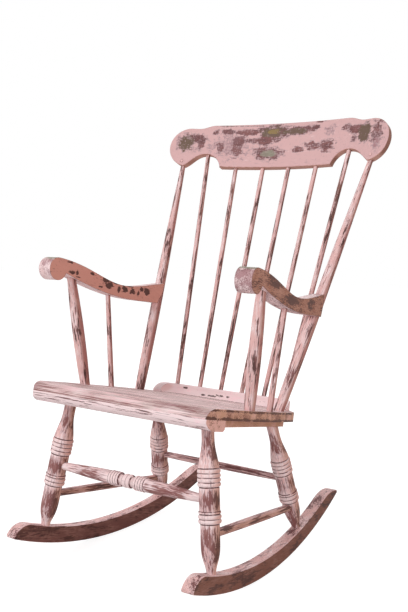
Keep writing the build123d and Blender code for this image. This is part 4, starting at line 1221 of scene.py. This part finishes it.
@dataclass
class Fastenings:
    """Pegs through the crest rail's lobes and slotted screws through the back posts.

    Lengths are in millimetres.
    """

    shop: Shop
    peg_radius: float = 2.2
    peg_start: float = 0.5
    peg_chamfer: float = 0.3
    plug_radius: float = 5.2
    plug_groove: float = 0.8
    plug_proud: float = 0.9
    plug_sunk: float = 0.3
    groove_floor: float = 0.05
    probe_gap: float = 3.0
    head_radius: float = 4.4
    head_height: float = 2.6
    shank_radius: float = 2.2
    slot_half: float = 0.55
    slot_depth: float = 1.2
    segments: int = 40
    metallic: float = 0.7
    seeds: tuple[float, float, float] = (4.3, 6.1, 2.9)

    def dress(self) -> None:
        """Make the pegs and the screws and give them their finishes."""
        paint = Paint("plug_paint", under=Tone.MAUVE, deep=Tone.BURGUNDY, amount=0.02,
                      edge_amount=0.4, edge_radius=0.6, hollow_shade_reach=0.9, hollow_shade_amount=0.95)
        steel = Paint("screw_steel", coat=Tone.STEEL, pale=Tone.LILAC_GREY, under=Tone.UMBER,
                      amount=0.12, hollow_shade_reach=1.2, hollow_shade_amount=0.9)
        # Painted shade: burgundy on the faces of the groove round each plug.
        groove_shade = Paint("plug_groove_painted_shade", coat=Tone.BURGUNDY, pale=Tone.MAUVE, amount=0.3,
                      edge_amount=0.0)
        painted, groove_shaded, plain = (
            self.shop.bench.mix(look, seed, lie) for look, seed, lie
            in zip((paint, groove_shade, steel), self.seeds, (CREST, CREST, SEAT)))
        shader = plain.node_tree.nodes["Principled BSDF"]
        shader.inputs["Metallic"].default_value = self.metallic
        for side, name in ((-1, "left"), (1, "right")):
            self.shop.place(f"{name}_crest_peg", self.peg(side), (painted, groove_shaded),
                            "crest_pins", "dowel")
            self.shop.place(f"{name}_arm_screw", self.screw(side), (plain,), "arm_screws",
                            "screw_steel")

    def axis_of(self, node: str, side: int, head: Vector) -> tuple[Matrix, float]:
        """Where one of a mirrored pair of pins lies.

        Args:
            node: the CAD node that holds the pair.
            side: -1 for the left one and 1 for the right one.
            head: a direction that its head looks along.

        Returns:
            Transform that puts z along the pin with its head's end at zero, and its length.
        """
        points = self.shop.points_of(node)
        points = points[points[:, 0] * side > 0]
        low, high = points.min(axis=0), points.max(axis=0)
        middle = (low + high) / 2
        along = longest_way(points - points.mean(axis=0))
        if along.dot(head) < 0:
            along.negate()
        reach = (points - middle) @ np.array(along)
        across = Vector((0, 0, 1)).cross(along).normalized()
        turn = Matrix((across, along.cross(across), along)).transposed().to_4x4()
        end = Vector(middle) + along * float(reach.max())
        return Matrix.Translation(end) @ turn, float(reach.max() - reach.min())

    def turned(self, outline: tuple[tuple[float, float], ...], lie: Matrix) -> bmesh.types.BMesh:
        """Round shape spun from half an outline.

        Args:
            outline: radius and height of its corners, from one pole to the other.
            lie: where it goes.

        Returns:
            The shape in the room's frame.
        """
        shape = bmesh.new()
        corners = [shape.verts.new((r * MM, 0.0, z * MM)) for r, z in outline]
        edges = [shape.edges.new(pair) for pair in zip(corners, corners[1:])]
        bmesh.ops.spin(shape, geom=corners + edges, axis=(0, 0, 1), cent=(0, 0, 0),
                       angle=2 * math.pi, steps=self.segments, use_merge=True)
        bmesh.ops.remove_doubles(shape, verts=shape.verts, dist=WELD)
        bmesh.ops.transform(shape, matrix=lie, verts=shape.verts)
        return shape

    def peg(self, side: int) -> bmesh.types.BMesh:
        """Peg with a domed plug over it, a fine groove round the plug.

        The plug lies flat on the rail's bent face, which the peg meets at a slant.

        Args:
            side: -1 for the left peg and 1 for the right one.

        Returns:
            The peg and the plug in the room's frame, the groove's faces numbered 1 for their
            painted shade.
        """
        lie, length = self.axis_of("crest_pins", side, Vector((0, -1, 0)))
        along, end = lie.to_3x3() @ Vector((0, 0, 1)), lie.translation
        # The face is looked for beside the hole, a little in front of the rail.
        beside = end + along * (self.probe_gap * MM) + Vector((0, 0, self.plug_radius * MM))
        rail = self.shop.frame["nodes"]["crest_rail"]
        _, on_face, normal, _ = rail.closest_point_on_mesh(beside)
        centre = end + along * ((on_face - end).dot(normal) / along.dot(normal))
        flat = Matrix.Translation(centre) @ normal.to_track_quat("Z", "Y").to_matrix().to_4x4()
        rim, groove, proud = self.plug_radius, self.plug_groove, self.plug_proud
        # From the dome's top down into the groove, over the rim and round to the hidden foot.
        shape = self.turned(
            ((0.0, proud), (rim * 0.5, proud * 0.95), (rim - groove * 1.8, proud * 0.7),
             (rim - groove * 1.6, self.groove_floor), (rim - groove * 0.6, self.groove_floor),
             (rim - 0.25, 0.40), (rim, 0.25), (rim, -self.plug_sunk), (0.0, -self.plug_sunk)),
            flat)
        for face in shape.faces:
            away = (face.calc_center_median() - flat.translation).length / MM
            face.material_index = int(rim - groove * 1.7 < away < rim - groove * 0.5)
        depth, start, chamfer = length / MM, self.peg_start, self.peg_chamfer
        inner = self.turned(
            ((0.0, -start), (self.peg_radius, -start), (self.peg_radius, chamfer - depth),
             (self.peg_radius - chamfer, -depth), (0.0, -depth)), lie)
        held = mesh_of("peg_shank", inner)
        shape.from_mesh(held)
        bpy.data.meshes.remove(held)
        return shape

    def screw(self, side: int) -> bmesh.types.BMesh:
        """Flat-topped screw with a slot sawn across its head.

        Args:
            side: -1 for the left screw and 1 for the right one.

        Returns:
            The screw in the room's frame.
        """
        lie, length = self.axis_of("arm_screws", side, Vector((0, 1, 0)))
        shape = bmesh.new()
        bmesh.ops.create_circle(shape, cap_ends=True, segments=self.segments,
                                radius=self.head_radius * MM)
        for edge in (-self.slot_half, self.slot_half):
            bmesh.ops.bisect_plane(shape, geom=shape.verts[:] + shape.edges[:] + shape.faces[:],
                                   plane_co=(0, edge * MM, 0), plane_no=(0, 1, 0), dist=ON_CUT)
        slot = [face for face in shape.faces
                if abs(face.calc_center_median().y) < self.slot_half * MM / 2]
        sunk = bmesh.ops.extrude_face_region(shape, geom=slot)["geom"]
        bmesh.ops.delete(shape, geom=slot, context="FACES_ONLY")
        bmesh.ops.translate(shape, vec=(0, 0, -self.slot_depth * MM), verts=corners_in(sunk))
        rim = [edge for edge in shape.edges if edge.is_boundary]
        for radius, drop in ((1.0, self.head_height), (self.shank_radius / self.head_radius, 0.0),
                             (1.0, length / MM - self.head_height)):
            grown = bmesh.ops.extrude_edge_only(shape, edges=rim)["geom"]
            corners = corners_in(grown)
            rim = [part for part in grown if isinstance(part, bmesh.types.BMEdge)
                   and part.is_boundary]
            bmesh.ops.scale(shape, vec=(radius, radius, 1.0), verts=corners)
            bmesh.ops.translate(shape, vec=(0, 0, -drop * MM), verts=corners)
        bmesh.ops.holes_fill(shape, edges=rim, sides=0)
        bmesh.ops.transform(shape, matrix=lie, verts=shape.verts)
        return shape


# ---------------------------------------------------------------- studio
@dataclass(frozen=True)
class Lamp:
    """A large soft lamp that looks at the chair."""

    name: str
    place: tuple[float, float, float]
    power: float
    size: float = 2.2


@dataclass
class Studio:
    """Pale floor, white background, soft lamps and the camera.

    Lengths are in metres and angles in degrees; the lens is in millimetres.
    """

    floor_half: float = 9.0
    azimuth: float = 33.786
    elevation: float = 5.531
    roll: float = 1.0313
    eye: tuple[float, float, float] = (1.1412, -1.6703, 0.7945)
    lens: float = 49.52
    ambient: float = 0.48
    # What the lamps look at, and the floor's grey as it lights the chair, as the camera sees it
    # and the light that the camera sees it give.
    aim: tuple[float, float, float] = (0.0, 0.05, 0.55)
    floor_grey: float = 0.8
    floor_seen: float = 0.34
    floor_glow: float = 0.88
    lamps: tuple[Lamp, ...] = (
        Lamp("key", (-2.1, -3.0, 3.1), 92.0),
        Lamp("fill", (3.2, -1.4, 1.6), 34.0),
        Lamp("rear", (-1.0, 3.6, 2.4), 42.0),
    )

    def build(self) -> None:
        """Place the floor, the world, the lamps and the camera."""
        self._floor()
        self._world()
        for lamp in self.lamps:
            self._lamp(lamp)
        self._camera()
        bpy.context.scene.view_settings.view_transform = "Standard"

    def _floor(self) -> None:
        """Lay a pale floor that the camera sees as white, with the chair's shadow on it."""
        shape = bmesh.new()
        bmesh.ops.create_grid(shape, x_segments=1, y_segments=1, size=self.floor_half)
        mesh = mesh_of("studio_floor", shape)
        floor = add_object("studio_floor", mesh)
        made = bpy.data.materials.new("floor_white")
        made.use_nodes = True
        w = Wires(made.node_tree)
        seen = w.node("ShaderNodeLightPath").outputs["Is Camera Ray"]
        grey, dark = ((tone, tone, tone, 1.0) for tone in (self.floor_grey, self.floor_seen))
        w.fill(made.node_tree.nodes["Principled BSDF"], Base_Color=w.mix(seen, grey, dark),
               Roughness=1.0, Specular_IOR_Level=0.0, Emission_Color=(1.0, 1.0, 1.0, 1.0),
               Emission_Strength=w.times(seen, self.floor_glow))
        mesh.materials.append(made)

    def _world(self) -> None:
        """Light the chair evenly and show white behind it."""
        world = bpy.data.worlds.new("studio_world")
        world.use_nodes = True
        bpy.context.scene.world = world
        w = Wires(world.node_tree)
        ray = w.node("ShaderNodeLightPath").outputs
        seen = w.larger(ray["Is Camera Ray"],
                        w.larger(ray["Is Glossy Ray"], ray["Is Transmission Ray"]))
        w.fill(world.node_tree.nodes["Background"], Color=(1.0, 1.0, 1.0, 1.0),
               Strength=w.plus(self.ambient, w.times(seen, 1.0 - self.ambient)))

    def _lamp(self, lamp: Lamp) -> None:
        """Hang one large soft lamp.

        Args:
            lamp: its place, power and size.
        """
        light = bpy.data.lights.new(lamp.name, "AREA")
        light.energy = lamp.power
        light.size = lamp.size
        held = add_object(lamp.name, light)
        held.location = lamp.place
        aim = Vector(self.aim) - Vector(lamp.place)
        held.rotation_euler = aim.to_track_quat("-Z", "Y").to_euler()

    def _camera(self) -> None:
        """Set the camera at its place, looking along its direction."""
        data = bpy.data.cameras.new("view")
        data.lens = self.lens
        data.sensor_width = 36.0
        camera = add_object("view", data)
        around, above = math.radians(self.azimuth), math.radians(self.elevation)
        back = Vector((math.sin(around) * math.cos(above), -math.cos(around) * math.cos(above),
                       math.sin(above)))
        level = Vector((math.cos(around), math.sin(around), 0.0))
        upright = back.cross(level)
        tilt = math.radians(self.roll)
        right = level * math.cos(tilt) + upright * math.sin(tilt)
        turn = Matrix((right, back.cross(right), back)).transposed().to_4x4()
        camera.matrix_world = Matrix.Translation(self.eye) @ turn
        bpy.context.scene.camera = camera


def main() -> None:
    """Load the frame, dress every sub-assembly, and set the scene round it."""
    logging.basicConfig(level=logging.INFO, format="%(name)s: %(message)s")
    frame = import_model()
    shop = Shop(frame, Bench(Effects()))
    for part in (Back, Arms, Seat, Undercarriage, Fastenings):
        part(shop).dress()
        log.info("%s finished", part.__name__.lower())
    Studio().build()
    log.info("studio built")


if __name__ == "__main__":
    main()
